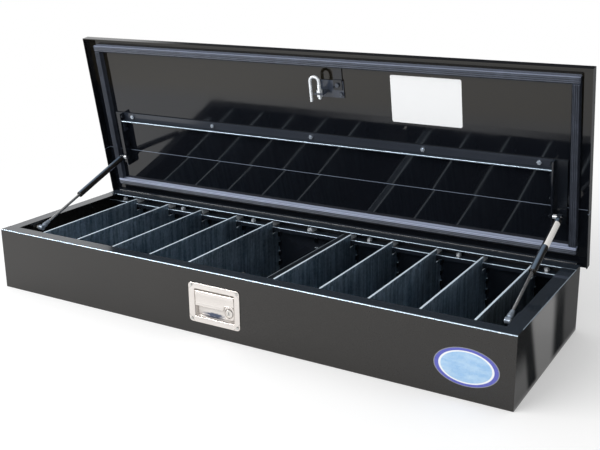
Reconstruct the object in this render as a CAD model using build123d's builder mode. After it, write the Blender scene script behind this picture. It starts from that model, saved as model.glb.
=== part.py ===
from build123d import *
import os
from math import atan2, cos, degrees, hypot, radians, sin, tan

os.makedirs("parts", exist_ok=True)

# A low truck bed tool box with divider plates, shown with its lid propped open on two gas struts.
# Millimetres. The origin is the middle of the underside, X runs along the box, -Y is the latch side.

# Box
LENGTH = 1524.0
WIDTH = 490.0
HEIGHT = 175.0
SHEET = 2.0
BEND = 3.0
RIM = 36.0
REAR_RIM = 38.0
REAR_LIP = 5.0
EDGE_ROUND = 1.9
MOUNT_HOLE_R = 4.5
MOUNT_SPAN_X = 1320.0
MOUNT_SPAN_Y = 380.0

# Rear ledge under the rear rim
LEDGE_DROP = 22.0
LEDGE_LIP = 12.0
LEDGE_LEG = 20.0
LEDGE_BOLT_R = 4.0
LEDGE_BOLT_INSET = 16.0
LEDGE_BOLT_BAYS = (0.0, 1.505, 3.549, 5.378)
LEDGE_BOLT_SHIFT = -14.0
NUT_FLATS = 13.0
NUT_HEIGHT = 6.5

# Dividers
END_BAY = 112.0
DIVIDER_OFFSET = 2.0
DIVIDER_SLOTS = (-5, -4, -3, -2, -1, 1, 2, 3, 4, 5)
FLANGED_SLOT = 1
DIVIDER_SHEET = 1.6
DIVIDER_DROP = 6.6
HEM_WIDTH = 6.0
HEM_HEIGHT = 12.0
DIVIDER_FLANGE = 22.0
FIT_GAP = 0.5
GUIDE_TAB = (3.0, 8.0, 14.0)
GUIDE_ROWS = 4
GUIDE_FOOT = 25.0
GUIDE_HEADROOM = 4.0

# Lid
LID_ANGLE = 80.2
LID_OVERHANG = 16.6
LID_LIP = 15.0
LID_RISE = 18.0
LID_SKIRT = 6.0
CREASE_REACH = 144.0
CREASE_ANGLE = 1.0
LID_BEND = 3.0

# Piano hinge
KNUCKLE_R = 5.0
HINGE_PIN_R = 2.5
PIN_CLEARANCE = 0.05
LEAF = 1.6
LEAF_DROP = 32.0
HINGE_INSET = 12.0
KNUCKLE_COUNT = 30
KNUCKLE_GAP = 0.6

# Seals on the lid
SEAL_WIDTH = 20.0
SEAL_GAP = 0.3
SEAL_INSET = 14.0
REAR_SEAL_REACH = 23.0
FRONT_SEAL_INSET = 22.0

# Lid brackets and tie bar
PLATE = 4.0
PLATE_TO_STRUT = 17.0
BRACKET_FAR = 270.0
BRACKET_LENGTH = 172.0
BRACKET_FOOT = 30.0
BRACKET_DEPTH = 8.0
PLATE_BOLTS = ((100.0, 5.0), (8.0, 4.0))
BAR_LEG = 25.0
BAR_SHEET = 4.0
BAR_EDGE = 4.0
BAR_ROUND = 1.9
BAR_TAB = 36.0
BAR_TAB_DEPTH = -10.0
BAR_NUT_SHARES = (0.0, 0.4956, 0.9475)
BAR_NUT_FLATS = 11.0
BOLT_HEAD = 5.1
BOLT_TIP = 7.8

# Gas struts
STRUT_INSET = 55.0
STRUT_FOOT_Y = 102.0
STRUT_FOOT_DROP = 15.5
STRUT_HEAD_REACH = 125.0
STRUT_HEAD_DEPTH = 3.0
TUBE_R = 9.0
TUBE_BORE_R = 7.6
ROD_R = 4.0
ROD_RUN = 0.05
TUBE_LENGTH = 206.0
ROD_IN_TUBE = 66.0
PISTON = 10.0
SOCKET_R = 7.5
SOCKET_LENGTH = 13.0
BALL_R = 5.0
BALL_GAP = 0.3
STUD_R = 3.0
NECK = 14.0
STRUT_PLATE = 4.0
STRUT_FOOT_SHEET = 3.0
STRUT_FOOT_SIZE = (30.0, 54.0)
STRUT_PLATE_SIZE = (34.0, 38.0)
STRUT_PLATE_DROP = 5.5
TUBE_WALL_END = 4.0
TUBE_CHAMFER = 1.0
RING_START = 96.0
RING_LENGTH = 96.0
RING_THICK = 0.2

# Striker hook under the lid
STRIKER_OFFSET = 57.5
STRIKER_R = 4.5
STRIKER_BEND = 13.5
STRIKER_SETBACK = 50.0
STRIKER_DEPTH = 14.0
STRIKER_SHEET = 3.0
STRIKER_TAIL = 70.0
STRIKER_THREAD = 61.0
LUG_SETBACK = 47.0
LUG_SHEET = 5.0
LUG_WIDTH = 26.0
LUG_TIP = 9.0
LUG_SHIFT = 1.0
STRIKER_BASE = (70.0, 48.0)
STRIKER_BASE_SHIFT = (23.0, 7.0)
STRAP_SHIFT = 29.0
STRAP_WIDTH = 26.0
STRAP_START = 6.0
STRAP_STEP = 31.0
STRAP_GAP = 2.0
LOCK_NUT = 7.0
SMALL_NUT = 5.0
STRAP_NUT_AT = (42.0, 20.0)
BASE_NUT_AT = (50.0, -7.0)

# Paddle latch
LATCH_X = -13.0
LATCH_DROP = 88.5
DISH_WIDTH = 155.0
DISH_HEIGHT = 105.0
DISH_CORNER = 9.0
RIVET_INSET = (8.0, 7.5)
RIVET_HEAD = 1.0
RECESS_WIDTH = 120.0
RECESS_HEIGHT = 72.0
RECESS_DEPTH = 18.0
DISH_SHEET = 1.5
GASKET = 1.0
PADDLE_GAP = 1.0
PADDLE_SHEET = 3.0
PADDLE_DROP = 39.0
PADDLE_PIVOT = 5.0
PADDLE_PIN_R = 2.0
PADDLE_LIP = (4.0, 5.0)
LOCK_OFFSET = 45.0
LOCK_DROP = 11.5
LOCK_R = 11.0
LOCK_WALL = 2.0
LOCK_BOSS = 6.0
BOSS_CORNER = 4.0
LOCK_PROUD = 1.0
LOCK_CHAMFER = 0.8
PLUG_PROUD = 0.6
KEY_SLOT = (1.6, 8.4, 4.0)
PLUG_R = 7.0
TAIL_SHEET = 4.0
TAIL_GAP = 1.5
TAIL_SLOT = 26.0
HOOK_SHEET = 6.0
HOOK_PIN_R = 4.0
HOOK_PIVOT = (20.0, 6.0)
HOOK_ARM = 7.0
HOOK_BEAK = 6.0
HOOK_WAIST = 8.0
HOOK_NECK = 12.0
HOOK_TAIL = (2.0, 5.0)
CATCH_GAP = 1.0
BEAK_GAP = 0.7
CASE_HALF = 16.0
CASE_CORNER = 6.0
CASE_LIP = 4.0
CASE_PIN = 3.0

# Labels and badge
LABEL_SIZE = (196.0, 128.0)
LABEL_CORNER = 5.0
LABEL_TO_END = 410.0
LABEL_TO_FRONT = 119.0
LABEL_THICK = 0.3
BADGE_HALF = (75.5, 45.0)
BADGE_TO_END = 109.0
BADGE_DROP = 97.0
BADGE_THICK = 0.6

# Worked-out places
HALF = LENGTH / 2
FRONT_Y = -WIDTH / 2
REAR_Y = WIDTH / 2
RIM_Y = FRONT_Y + RIM
REAR_RIM_Y = REAR_Y - REAR_RIM
END_RIM_X = HALF - RIM
INNER_X = HALF - SHEET
INNER_FRONT = FRONT_Y + SHEET
INNER_REAR = REAR_Y - SHEET
LEDGE_TOP = HEIGHT - LEDGE_DROP
DIVIDER_TOP = HEIGHT - DIVIDER_DROP
HINGE_Y = REAR_Y + KNUCKLE_R
DIVIDER_PITCH = (INNER_X - END_BAY) / max(DIVIDER_SLOTS)
KNUCKLE_PITCH = (LENGTH - 2 * HINGE_INSET) / KNUCKLE_COUNT
LID_FRONT = WIDTH + KNUCKLE_R + LID_LIP
FRONT_SEAL_REACH = LID_FRONT - FRONT_SEAL_INSET
STRUT_X = HALF - STRUT_INSET
STRUT_FOOT_Z = HEIGHT - STRUT_FOOT_DROP
PLATE_X = STRUT_X - PLATE_TO_STRUT
BRACKET_NEAR = BRACKET_FAR - BRACKET_LENGTH
BAR_REACH = BRACKET_FAR - BAR_LEG
STRIKER_X = LATCH_X + STRIKER_OFFSET
STRIKER_REACH = WIDTH + KNUCKLE_R - STRIKER_SETBACK
LATCH_Z = HEIGHT - LATCH_DROP
LOCK_X = LATCH_X + LOCK_OFFSET
LOCK_Z = LATCH_Z - LOCK_DROP
SLOT_X = [DIVIDER_OFFSET + slot * DIVIDER_PITCH for slot in DIVIDER_SLOTS]
ALL_SLOT_X = sorted(SLOT_X + [DIVIDER_OFFSET])

# The lid's own frame: x along the box, y from the hinge to the lid's free edge, z into the box when shut
swing = radians(LID_ANGLE)
reach_dir = Vector(0, -cos(swing), sin(swing))
depth_dir = Vector(0, -sin(swing), -cos(swing))
hinge_at = Vector(0, HINGE_Y, HEIGHT)
lid_plane = Plane(origin=hinge_at, x_dir=(1, 0, 0), z_dir=depth_dir)
lid_section = Plane(origin=hinge_at, x_dir=reach_dir, z_dir=(1, 0, 0))


def skin_depth(reach):
    """Depth of the lid skin's inner face, which falls gently from its crease to the hinge."""
    return -LID_RISE + max(CREASE_REACH - reach, 0.0) * tan(radians(CREASE_ANGLE))


def ends(values):
    """Both signs of each distance from the middle, once for zero."""
    return sorted({side * value for value in values for side in (-1, 1)})


# ---------------------------------------------------------------- box panels
with BuildPart() as front_panel:
    with BuildSketch(Plane.YZ.offset(-HALF)):
        with BuildLine():
            Polyline(
                (FRONT_Y, 0),
                (FRONT_Y, HEIGHT),
                (RIM_Y, HEIGHT),
                (RIM_Y, HEIGHT - SHEET),
                (INNER_FRONT, HEIGHT - SHEET),
                (INNER_FRONT, 0),
                close=True,
            )
        make_face()
    extrude(amount=LENGTH)
    top_edge = front_panel.edges().filter_by(Axis.X).group_by(Axis.Z)[-1].sort_by(Axis.Y)[0]
    fillet(top_edge, BEND)
    with BuildSketch(Plane.XZ.offset(-FRONT_Y)):
        with Locations((LATCH_X, LATCH_Z)):
            Rectangle(RECESS_WIDTH + 2 * DISH_SHEET + FIT_GAP, RECESS_HEIGHT + 2 * DISH_SHEET + FIT_GAP)
    extrude(amount=-SHEET, mode=Mode.SUBTRACT)
front_panel.part.label = "front_panel"
export_step(front_panel.part, "parts/front_panel.step")

with BuildPart() as rear_panel:
    with BuildSketch(Plane.YZ.offset(-HALF)):
        with BuildLine():
            Polyline(
                (REAR_Y, 0),
                (REAR_Y, HEIGHT),
                (REAR_RIM_Y, HEIGHT),
                (REAR_RIM_Y, HEIGHT - SHEET),
                (INNER_REAR, HEIGHT - SHEET),
                (INNER_REAR, 0),
                close=True,
            )
        make_face()
    extrude(amount=LENGTH)
    with BuildSketch(Plane.XY.offset(HEIGHT - REAR_LIP)):
        with Locations((0, REAR_RIM_Y + SHEET / 2)):
            Rectangle(2 * INNER_X, SHEET)
    extrude(amount=REAR_LIP - SHEET)
    lip_edge = rear_panel.edges().filter_by(Axis.X).group_by(Axis.Z)[-1].sort_by(Axis.Y)[0]
    fillet(lip_edge, EDGE_ROUND)
rear_panel.part.label = "rear_panel"
export_step(rear_panel.part, "parts/rear_panel.step")

with BuildPart() as floor_panel:
    with BuildSketch(Plane.XY):
        Rectangle(2 * INNER_X, WIDTH - 2 * SHEET)
        with GridLocations(MOUNT_SPAN_X, MOUNT_SPAN_Y, 2, 2):
            Circle(MOUNT_HOLE_R, mode=Mode.SUBTRACT)
    extrude(amount=SHEET)
floor_panel.part.label = "floor_panel"
export_step(floor_panel.part, "parts/floor_panel.step")

for side, name in ((-1, "left_end_panel"), (1, "right_end_panel")):
    with BuildPart() as end_panel:
        with BuildSketch(Plane.XY):
            with Locations((side * (HALF - SHEET / 2), 0)):
                Rectangle(SHEET, WIDTH - 2 * SHEET)
        extrude(amount=HEIGHT - SHEET)
        with BuildSketch(Plane.XY.offset(HEIGHT - SHEET)):
            with Locations((side * (HALF - RIM / 2), (RIM_Y + REAR_RIM_Y) / 2)):
                Rectangle(RIM, REAR_RIM_Y - RIM_Y)
        extrude(amount=SHEET)
        outer = end_panel.edges().filter_by(Axis.Y).group_by(Axis.Z)[-1].sort_by(Axis.X)
        fillet(outer[-1] if side > 0 else outer[0], EDGE_ROUND * 0.95)
    end_panel.part.label = name
    export_step(end_panel.part, f"parts/{name}.step")

# ---------------------------------------------------------------- rear ledge
ledge_bolt_y = REAR_Y - LEDGE_BOLT_INSET
ledge_bolt_x = ends([bays * DIVIDER_PITCH for bays in LEDGE_BOLT_BAYS])
ledge_bolt_spots = [(x + LEDGE_BOLT_SHIFT, ledge_bolt_y) for x in ledge_bolt_x]
with BuildPart() as rear_ledge:
    with BuildSketch(Plane.YZ.offset(-INNER_X)):
        with BuildLine():
            Polyline(
                (REAR_RIM_Y, LEDGE_TOP),
                (INNER_REAR, LEDGE_TOP),
                (INNER_REAR, LEDGE_TOP - LEDGE_LEG),
                (INNER_REAR - SHEET, LEDGE_TOP - LEDGE_LEG),
                (INNER_REAR - SHEET, LEDGE_TOP - SHEET),
                (REAR_RIM_Y + SHEET, LEDGE_TOP - SHEET),
                (REAR_RIM_Y + SHEET, LEDGE_TOP - LEDGE_LIP),
                (REAR_RIM_Y, LEDGE_TOP - LEDGE_LIP),
                close=True,
            )
        make_face()
    extrude(amount=2 * INNER_X)
    ledge_edge = rear_ledge.edges().filter_by(Axis.X).group_by(Axis.Z)[-1].sort_by(Axis.Y)[0]
    fillet(ledge_edge, EDGE_ROUND)
    with BuildSketch(Plane.XY.offset(LEDGE_TOP)):
        with Locations(*ledge_bolt_spots):
            Circle(LEDGE_BOLT_R)
    extrude(amount=-SHEET, mode=Mode.SUBTRACT)
rear_ledge.part.label = "rear_ledge"
export_step(rear_ledge.part, "parts/rear_ledge.step")

with BuildPart() as ledge_bolts:
    with BuildSketch(Plane.XY.offset(LEDGE_TOP - SHEET - NUT_HEIGHT)):
        with Locations(*ledge_bolt_spots):
            Circle(LEDGE_BOLT_R)
    extrude(amount=SHEET + 2 * NUT_HEIGHT + STUD_R)
    with BuildSketch(Plane.XY.offset(LEDGE_TOP - SHEET - NUT_HEIGHT), Plane.XY.offset(LEDGE_TOP)):
        with Locations(*ledge_bolt_spots):
            RegularPolygon(NUT_FLATS / 2, 6, major_radius=False)
    extrude(amount=NUT_HEIGHT)
ledge_bolts.part.label = "ledge_bolts"
export_step(ledge_bolts.part, "parts/ledge_bolts.step")

gusset_start = REAR_RIM_Y + SHEET
with BuildPart() as ledge_gussets:
    with BuildSketch(Plane.XY.offset(LEDGE_TOP)):
        with Locations(*[(x, (gusset_start + INNER_REAR) / 2) for x in ALL_SLOT_X]):
            Rectangle(SHEET, INNER_REAR - gusset_start)
    extrude(amount=LEDGE_DROP - SHEET)
    gusset_front = ledge_gussets.edges().filter_by(Axis.X).group_by(Axis.Y)[0].group_by(Axis.Z)[0]
    chamfer(gusset_front, NUT_HEIGHT)
ledge_gussets.part.label = "ledge_gussets"
export_step(ledge_gussets.part, "parts/ledge_gussets.step")

# ---------------------------------------------------------------- dividers and their guides
divider_foot = LEDGE_TOP - LEDGE_LEG - SHEET
for number, (slot, slot_x) in enumerate(zip(DIVIDER_SLOTS, SLOT_X), start=1):
    with BuildPart() as divider:
        with BuildSketch(Plane.YZ.offset(slot_x - DIVIDER_SHEET / 2)):
            with BuildLine():
                Polyline(
                    (INNER_FRONT + FIT_GAP, SHEET),
                    (INNER_FRONT + FIT_GAP, DIVIDER_TOP),
                    (REAR_RIM_Y - SHEET, DIVIDER_TOP),
                    (REAR_RIM_Y - SHEET, divider_foot),
                    (INNER_REAR - FIT_GAP, divider_foot),
                    (INNER_REAR - FIT_GAP, SHEET),
                    close=True,
                )
            make_face()
        extrude(amount=DIVIDER_SHEET)
        hem_length = REAR_RIM_Y - SHEET - INNER_FRONT - FIT_GAP
        hem_y = (REAR_RIM_Y - SHEET + INNER_FRONT + FIT_GAP) / 2
        with BuildSketch(Plane.XY.offset(DIVIDER_TOP)):
            with Locations((slot_x, hem_y)):
                Rectangle(HEM_WIDTH, hem_length)
        extrude(amount=-HEM_HEIGHT)
        fillet(divider.edges().filter_by(Axis.Y).group_by(Axis.Z)[-1], DIVIDER_SHEET)
        if slot == FLANGED_SLOT:
            with BuildSketch(Plane.XY.offset(DIVIDER_TOP - DIVIDER_SHEET)):
                with Locations((slot_x - DIVIDER_FLANGE / 2, hem_y)):
                    Rectangle(DIVIDER_FLANGE, hem_length)
            extrude(amount=-DIVIDER_SHEET)
    divider.part.label = f"divider_{number}"
    export_step(divider.part, f"parts/divider_{number}.step")

tab_x, tab_y, tab_z = GUIDE_TAB
tab_offset = (DIVIDER_SHEET + tab_x) / 2 + FIT_GAP
guide_span = LEDGE_TOP - LEDGE_LEG - GUIDE_HEADROOM - tab_z - GUIDE_FOOT
guide_pitch = guide_span / (GUIDE_ROWS - 1)
rear_tabs = [(x + side * tab_offset, INNER_REAR - tab_y / 2) for x in ALL_SLOT_X for side in (-1, 1)]
front_tabs = [(x + side * tab_offset, INNER_FRONT + tab_y / 2) for x in SLOT_X for side in (-1, 1)]
with BuildPart() as divider_guides:
    for row in range(GUIDE_ROWS):
        with BuildSketch(Plane.XY.offset(GUIDE_FOOT + row * guide_pitch)):
            with Locations(*rear_tabs, *front_tabs):
                Rectangle(tab_x, tab_y)
        extrude(amount=tab_z)
divider_guides.part.label = "divider_guides"
export_step(divider_guides.part, "parts/divider_guides.step")

# ---------------------------------------------------------------- piano hinge
hinge_length = KNUCKLE_PITCH * KNUCKLE_COUNT
knuckle_length = KNUCKLE_PITCH - KNUCKLE_GAP
knuckle_x = [(index + 0.5) * KNUCKLE_PITCH - hinge_length / 2 for index in range(KNUCKLE_COUNT)]
box_knuckles = knuckle_x[0::2]
lid_knuckles = knuckle_x[1::2]
leaf_edge = KNUCKLE_R + KNUCKLE_GAP

with BuildPart() as hinge_box_leaf:
    with BuildSketch(Plane.XZ.offset(-REAR_Y)):
        with Locations((0, HEIGHT - (LEAF_DROP + leaf_edge) / 2)):
            Rectangle(hinge_length, LEAF_DROP - leaf_edge)
        with Locations(*[(x, HEIGHT - leaf_edge / 2) for x in box_knuckles]):
            Rectangle(knuckle_length, leaf_edge)
    extrude(amount=-LEAF)
    with Locations(*[(x, HINGE_Y, HEIGHT) for x in box_knuckles]):
        Cylinder(KNUCKLE_R, knuckle_length, rotation=(0, 90, 0))
    with Locations((0, HINGE_Y, HEIGHT)):
        Cylinder(HINGE_PIN_R, hinge_length, rotation=(0, 90, 0), mode=Mode.SUBTRACT)
hinge_box_leaf.part.label = "hinge_box_leaf"
export_step(hinge_box_leaf.part, "parts/hinge_box_leaf.step")

lid_leaf_depth = -skin_depth(-KNUCKLE_R)
with BuildPart() as hinge_lid_leaf:
    with BuildSketch(Plane(origin=hinge_at - reach_dir * KNUCKLE_R, x_dir=(1, 0, 0), z_dir=reach_dir)):
        with Locations((0, (lid_leaf_depth + leaf_edge) / 2)):
            Rectangle(hinge_length, lid_leaf_depth - leaf_edge)
        with Locations(*[(x, leaf_edge / 2) for x in lid_knuckles]):
            Rectangle(knuckle_length, leaf_edge)
    extrude(amount=LEAF)
    with Locations(*[(x, HINGE_Y, HEIGHT) for x in lid_knuckles]):
        Cylinder(KNUCKLE_R, knuckle_length, rotation=(0, 90, 0))
    with Locations((0, HINGE_Y, HEIGHT)):
        Cylinder(HINGE_PIN_R + PIN_CLEARANCE, hinge_length, rotation=(0, 90, 0), mode=Mode.SUBTRACT)
hinge_lid_leaf.part.label = "hinge_lid_leaf"
export_step(hinge_lid_leaf.part, "parts/hinge_lid_leaf.step")

with BuildPart() as hinge_pin:
    with BuildSketch(Plane(origin=(-hinge_length / 2, HINGE_Y, HEIGHT), z_dir=(1, 0, 0))):
        Circle(HINGE_PIN_R)
    extrude(amount=hinge_length)
hinge_pin.part.label = "hinge_pin"
export_step(hinge_pin.part, "parts/hinge_pin.step")

# ---------------------------------------------------------------- lid
lid_half = HALF + LID_OVERHANG
lid_back = -KNUCKLE_R - SHEET
with BuildPart() as lid_panel:
    with BuildSketch(lid_section.offset(-lid_half)):
        with BuildLine():
            Polyline(
                (lid_back, skin_depth(lid_back) - SHEET),
                (CREASE_REACH, -LID_RISE - SHEET),
                (LID_FRONT, -LID_RISE - SHEET),
                (LID_FRONT, LID_SKIRT),
                (LID_FRONT - SHEET, LID_SKIRT),
                (LID_FRONT - SHEET, -LID_RISE),
                (CREASE_REACH, -LID_RISE),
                (-KNUCKLE_R, skin_depth(-KNUCKLE_R)),
                (-KNUCKLE_R, 0),
                (lid_back, 0),
                close=True,
            )
        make_face()
    extrude(amount=2 * lid_half)
    with BuildSketch(lid_section.offset(-lid_half), lid_section.offset(lid_half - SHEET)):
        with BuildLine():
            Polyline(
                (lid_back, skin_depth(lid_back) - SHEET),
                (CREASE_REACH, -LID_RISE - SHEET),
                (LID_FRONT, -LID_RISE - SHEET),
                (LID_FRONT, LID_SKIRT),
                (lid_back, LID_SKIRT),
                close=True,
            )
        make_face()
    extrude(amount=SHEET)
    long_edges = lid_panel.edges().filter_by(Axis.X)
    front_corner = long_edges.filter_by(
        lambda edge: abs((edge.center() - hinge_at).dot(reach_dir) - LID_FRONT) < 0.1
        and abs((edge.center() - hinge_at).dot(depth_dir) + LID_RISE + SHEET) < 0.1
    )
    fillet(front_corner, LID_BEND)
lid_panel.part.label = "lid_panel"
export_step(lid_panel.part, "parts/lid_panel.step")

# ---------------------------------------------------------------- seals
seal_half = HALF - SEAL_INSET
rear_seal_end = REAR_SEAL_REACH + SEAL_WIDTH
front_seal_start = FRONT_SEAL_REACH - SEAL_WIDTH

with BuildPart() as front_seal:
    with BuildSketch(lid_plane.offset(-LID_RISE)):
        with Locations((0, FRONT_SEAL_REACH - SEAL_WIDTH / 2)):
            Rectangle(2 * seal_half, SEAL_WIDTH)
    extrude(amount=LID_RISE - SEAL_GAP)
front_seal.part.label = "front_seal"
export_step(front_seal.part, "parts/front_seal.step")

with BuildPart() as rear_seal:
    with BuildSketch(lid_section.offset(-seal_half)):
        with BuildLine():
            Polyline(
                (REAR_SEAL_REACH, skin_depth(REAR_SEAL_REACH)),
                (rear_seal_end, skin_depth(rear_seal_end)),
                (rear_seal_end, -SEAL_GAP),
                (REAR_SEAL_REACH, -SEAL_GAP),
                close=True,
            )
        make_face()
    extrude(amount=2 * seal_half)
rear_seal.part.label = "rear_seal"
export_step(rear_seal.part, "parts/rear_seal.step")

for side, name in ((-1, "left_seal"), (1, "right_seal")):
    with BuildPart() as end_seal:
        with BuildSketch(lid_section.offset(side * seal_half)):
            with BuildLine():
                Polyline(
                    (rear_seal_end, skin_depth(rear_seal_end)),
                    (CREASE_REACH, -LID_RISE),
                    (front_seal_start, -LID_RISE),
                    (front_seal_start, -SEAL_GAP),
                    (rear_seal_end, -SEAL_GAP),
                    close=True,
                )
            make_face()
        extrude(amount=-side * SEAL_WIDTH)
    end_seal.part.label = name
    export_step(end_seal.part, f"parts/{name}.step")

with BuildPart() as lid_label:
    with BuildSketch(lid_plane.offset(-LID_RISE)):
        with Locations((HALF - LABEL_TO_END, LID_FRONT - LABEL_TO_FRONT)):
            RectangleRounded(*LABEL_SIZE, LABEL_CORNER)
    extrude(amount=LABEL_THICK)
lid_label.part.label = "lid_label"
export_step(lid_label.part, "parts/lid_label.step")

# ---------------------------------------------------------------- lid brackets and tie bar
tab_reach = BAR_REACH + BAR_SHEET - BAR_TAB / 2
plate_bolts = [(BRACKET_FAR - back, -depth) for back, depth in PLATE_BOLTS]
head_point = (STRUT_HEAD_REACH, STRUT_HEAD_DEPTH)
for side, name in ((-1, "left_lid_bracket"), (1, "right_lid_bracket")):
    with BuildPart() as lid_bracket:
        with BuildSketch(lid_section.offset(side * PLATE_X)):
            with BuildLine():
                Polyline(
                    (BRACKET_NEAR, skin_depth(BRACKET_NEAR)),
                    (CREASE_REACH, -LID_RISE),
                    (BRACKET_FAR, -LID_RISE),
                    (BRACKET_FAR, BAR_EDGE),
                    (BAR_REACH - BAR_TAB, BRACKET_DEPTH),
                    (BRACKET_NEAR + PLATE, BRACKET_DEPTH),
                    (BRACKET_NEAR, BRACKET_DEPTH - PLATE),
                    close=True,
                )
            make_face()
            with Locations(head_point, *plate_bolts, (tab_reach, BAR_TAB_DEPTH)):
                Circle(STUD_R, mode=Mode.SUBTRACT)
        extrude(amount=-side * PLATE)
        with BuildSketch(lid_section.offset(side * PLATE_X)):
            with BuildLine():
                Polyline(
                    (BRACKET_NEAR, skin_depth(BRACKET_NEAR)),
                    (CREASE_REACH, -LID_RISE),
                    (BRACKET_FAR, -LID_RISE),
                    (BRACKET_FAR, PLATE - LID_RISE),
                    (BRACKET_NEAR, PLATE - LID_RISE),
                    close=True,
                )
            make_face()
        extrude(amount=side * BRACKET_FOOT)
    lid_bracket.part.label = name
    export_step(lid_bracket.part, f"parts/{name}.step")

bar_half = PLATE_X - PLATE
with BuildPart() as tie_bar:
    with BuildSketch(lid_section.offset(-bar_half)):
        with BuildLine():
            Polyline(
                (BAR_REACH, -LID_RISE),
                (BAR_REACH + BAR_LEG, -LID_RISE),
                (BAR_REACH + BAR_LEG, BAR_SHEET - LID_RISE),
                (BAR_REACH + BAR_SHEET, BAR_SHEET - LID_RISE),
                (BAR_REACH + BAR_SHEET, BAR_EDGE),
                (BAR_REACH, BAR_EDGE),
                close=True,
            )
        make_face()
    extrude(amount=2 * bar_half)
    bar_edges = tie_bar.edges().filter_by(Axis.X).filter_by(
        lambda edge: abs((edge.center() - hinge_at).dot(depth_dir) - BAR_EDGE) < FIT_GAP
    )
    fillet(bar_edges, BAR_ROUND)
    with BuildSketch(lid_section.offset(-bar_half), lid_section.offset(bar_half - BAR_SHEET)):
        with Locations((tab_reach, BAR_TAB_DEPTH)):
            Rectangle(BAR_TAB, 2 * (LID_RISE + BAR_TAB_DEPTH))
            Circle(STUD_R, mode=Mode.SUBTRACT)
    extrude(amount=BAR_SHEET)
tie_bar.part.label = "tie_bar"
export_step(tie_bar.part, "parts/tie_bar.step")

with BuildPart() as tie_bar_nuts:
    nut_face = BAR_SHEET - LID_RISE
    nut_x = ends([share * bar_half for share in BAR_NUT_SHARES])
    nut_spots = [(x, BAR_REACH + (BAR_LEG + BAR_SHEET) / 2) for x in nut_x]
    with BuildSketch(lid_plane.offset(nut_face)):
        with Locations(*nut_spots):
            RegularPolygon(BAR_NUT_FLATS / 2, 6, major_radius=False)
    extrude(amount=BOLT_HEAD)
    with BuildSketch(lid_plane.offset(nut_face)):
        with Locations(*nut_spots):
            Circle(STUD_R)
    extrude(amount=BOLT_TIP)
tie_bar_nuts.part.label = "tie_bar_nuts"
export_step(tie_bar_nuts.part, "parts/tie_bar_nuts.step")

with BuildPart() as bracket_bolts:
    for side in (-1, 1):
        inner_face = side * (PLATE_X - PLATE)
        with BuildSketch(lid_section.offset(inner_face)):
            with Locations(head_point, *plate_bolts):
                RegularPolygon(BAR_NUT_FLATS / 2, 6, major_radius=False)
        extrude(amount=-side * BOLT_HEAD)
        with BuildSketch(lid_section.offset(side * (PLATE_X - PLATE - BAR_SHEET))):
            with Locations((tab_reach, BAR_TAB_DEPTH)):
                RegularPolygon(BAR_NUT_FLATS / 2, 6, major_radius=False)
        extrude(amount=-side * BOLT_HEAD)
        with BuildSketch(lid_section.offset(side * PLATE_X)):
            with Locations(head_point, *plate_bolts, (tab_reach, BAR_TAB_DEPTH)):
                Circle(STUD_R)
        extrude(amount=-side * (PLATE + BAR_SHEET + STUD_R))
bracket_bolts.part.label = "bracket_bolts"
export_step(bracket_bolts.part, "parts/bracket_bolts.step")

# ---------------------------------------------------------------- striker
rod_x = STRIKER_X + STRIKER_BEND
bend_reach = STRIKER_REACH - STRIKER_BEND
lug_reach = STRIKER_REACH - LUG_SETBACK
plate_face = STRIKER_SHEET - LID_RISE
base_x, base_y = STRIKER_BASE_SHIFT
strap_end = front_seal_start - STRAP_GAP
with BuildPart() as striker_bracket:
    with BuildSketch(lid_plane.offset(-LID_RISE)):
        with Locations((rod_x + base_x, lug_reach + base_y)):
            Rectangle(*STRIKER_BASE)
    extrude(amount=STRIKER_SHEET)
    with BuildSketch(lid_plane.offset(-LID_RISE)):
        with Locations((rod_x + LUG_SHIFT, lug_reach + LUG_SHEET / 2)):
            Rectangle(LUG_WIDTH, LUG_SHEET)
    extrude(amount=LID_RISE + STRIKER_DEPTH + LUG_TIP)
    with BuildSketch(Plane(origin=hinge_at + reach_dir * lug_reach, x_dir=(1, 0, 0), z_dir=reach_dir)):
        with Locations((rod_x, -STRIKER_DEPTH)):
            Circle(STRIKER_R)
    extrude(amount=LUG_SHEET, mode=Mode.SUBTRACT)
striker_bracket.part.label = "striker_bracket"
export_step(striker_bracket.part, "parts/striker_bracket.step")

with BuildPart() as striker_strap:
    with BuildSketch(lid_section.offset(rod_x + STRAP_SHIFT)):
        with BuildLine():
            Polyline(
                (lug_reach + STRAP_START, plate_face),
                (lug_reach + STRAP_STEP, plate_face),
                (lug_reach + STRAP_STEP, -LID_RISE),
                (strap_end, -LID_RISE),
                (strap_end, plate_face),
                (lug_reach + STRAP_STEP + STRIKER_SHEET, plate_face),
                (lug_reach + STRAP_STEP + STRIKER_SHEET, plate_face + STRIKER_SHEET),
                (lug_reach + STRAP_START, plate_face + STRIKER_SHEET),
                close=True,
            )
        make_face()
    extrude(amount=STRAP_WIDTH)
striker_strap.part.label = "striker_strap"
export_step(striker_strap.part, "parts/striker_strap.step")

free_x = rod_x - 2 * STRIKER_BEND
with BuildPart() as striker_hook:
    with BuildLine(lid_plane.offset(STRIKER_DEPTH)) as hook_line:
        Line((free_x, STRIKER_REACH - STRIKER_TAIL), (free_x, bend_reach))
        ThreePointArc(
            (free_x, bend_reach),
            (STRIKER_X, STRIKER_REACH),
            (rod_x, bend_reach),
        )
        Line((rod_x, bend_reach), (rod_x, STRIKER_REACH - STRIKER_THREAD))
    with BuildSketch(Plane(origin=hook_line.line @ 0, z_dir=hook_line.line % 0)):
        Circle(STRIKER_R)
    sweep(path=hook_line.line)
striker_hook.part.label = "striker_hook"
export_step(striker_hook.part, "parts/striker_hook.step")

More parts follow.
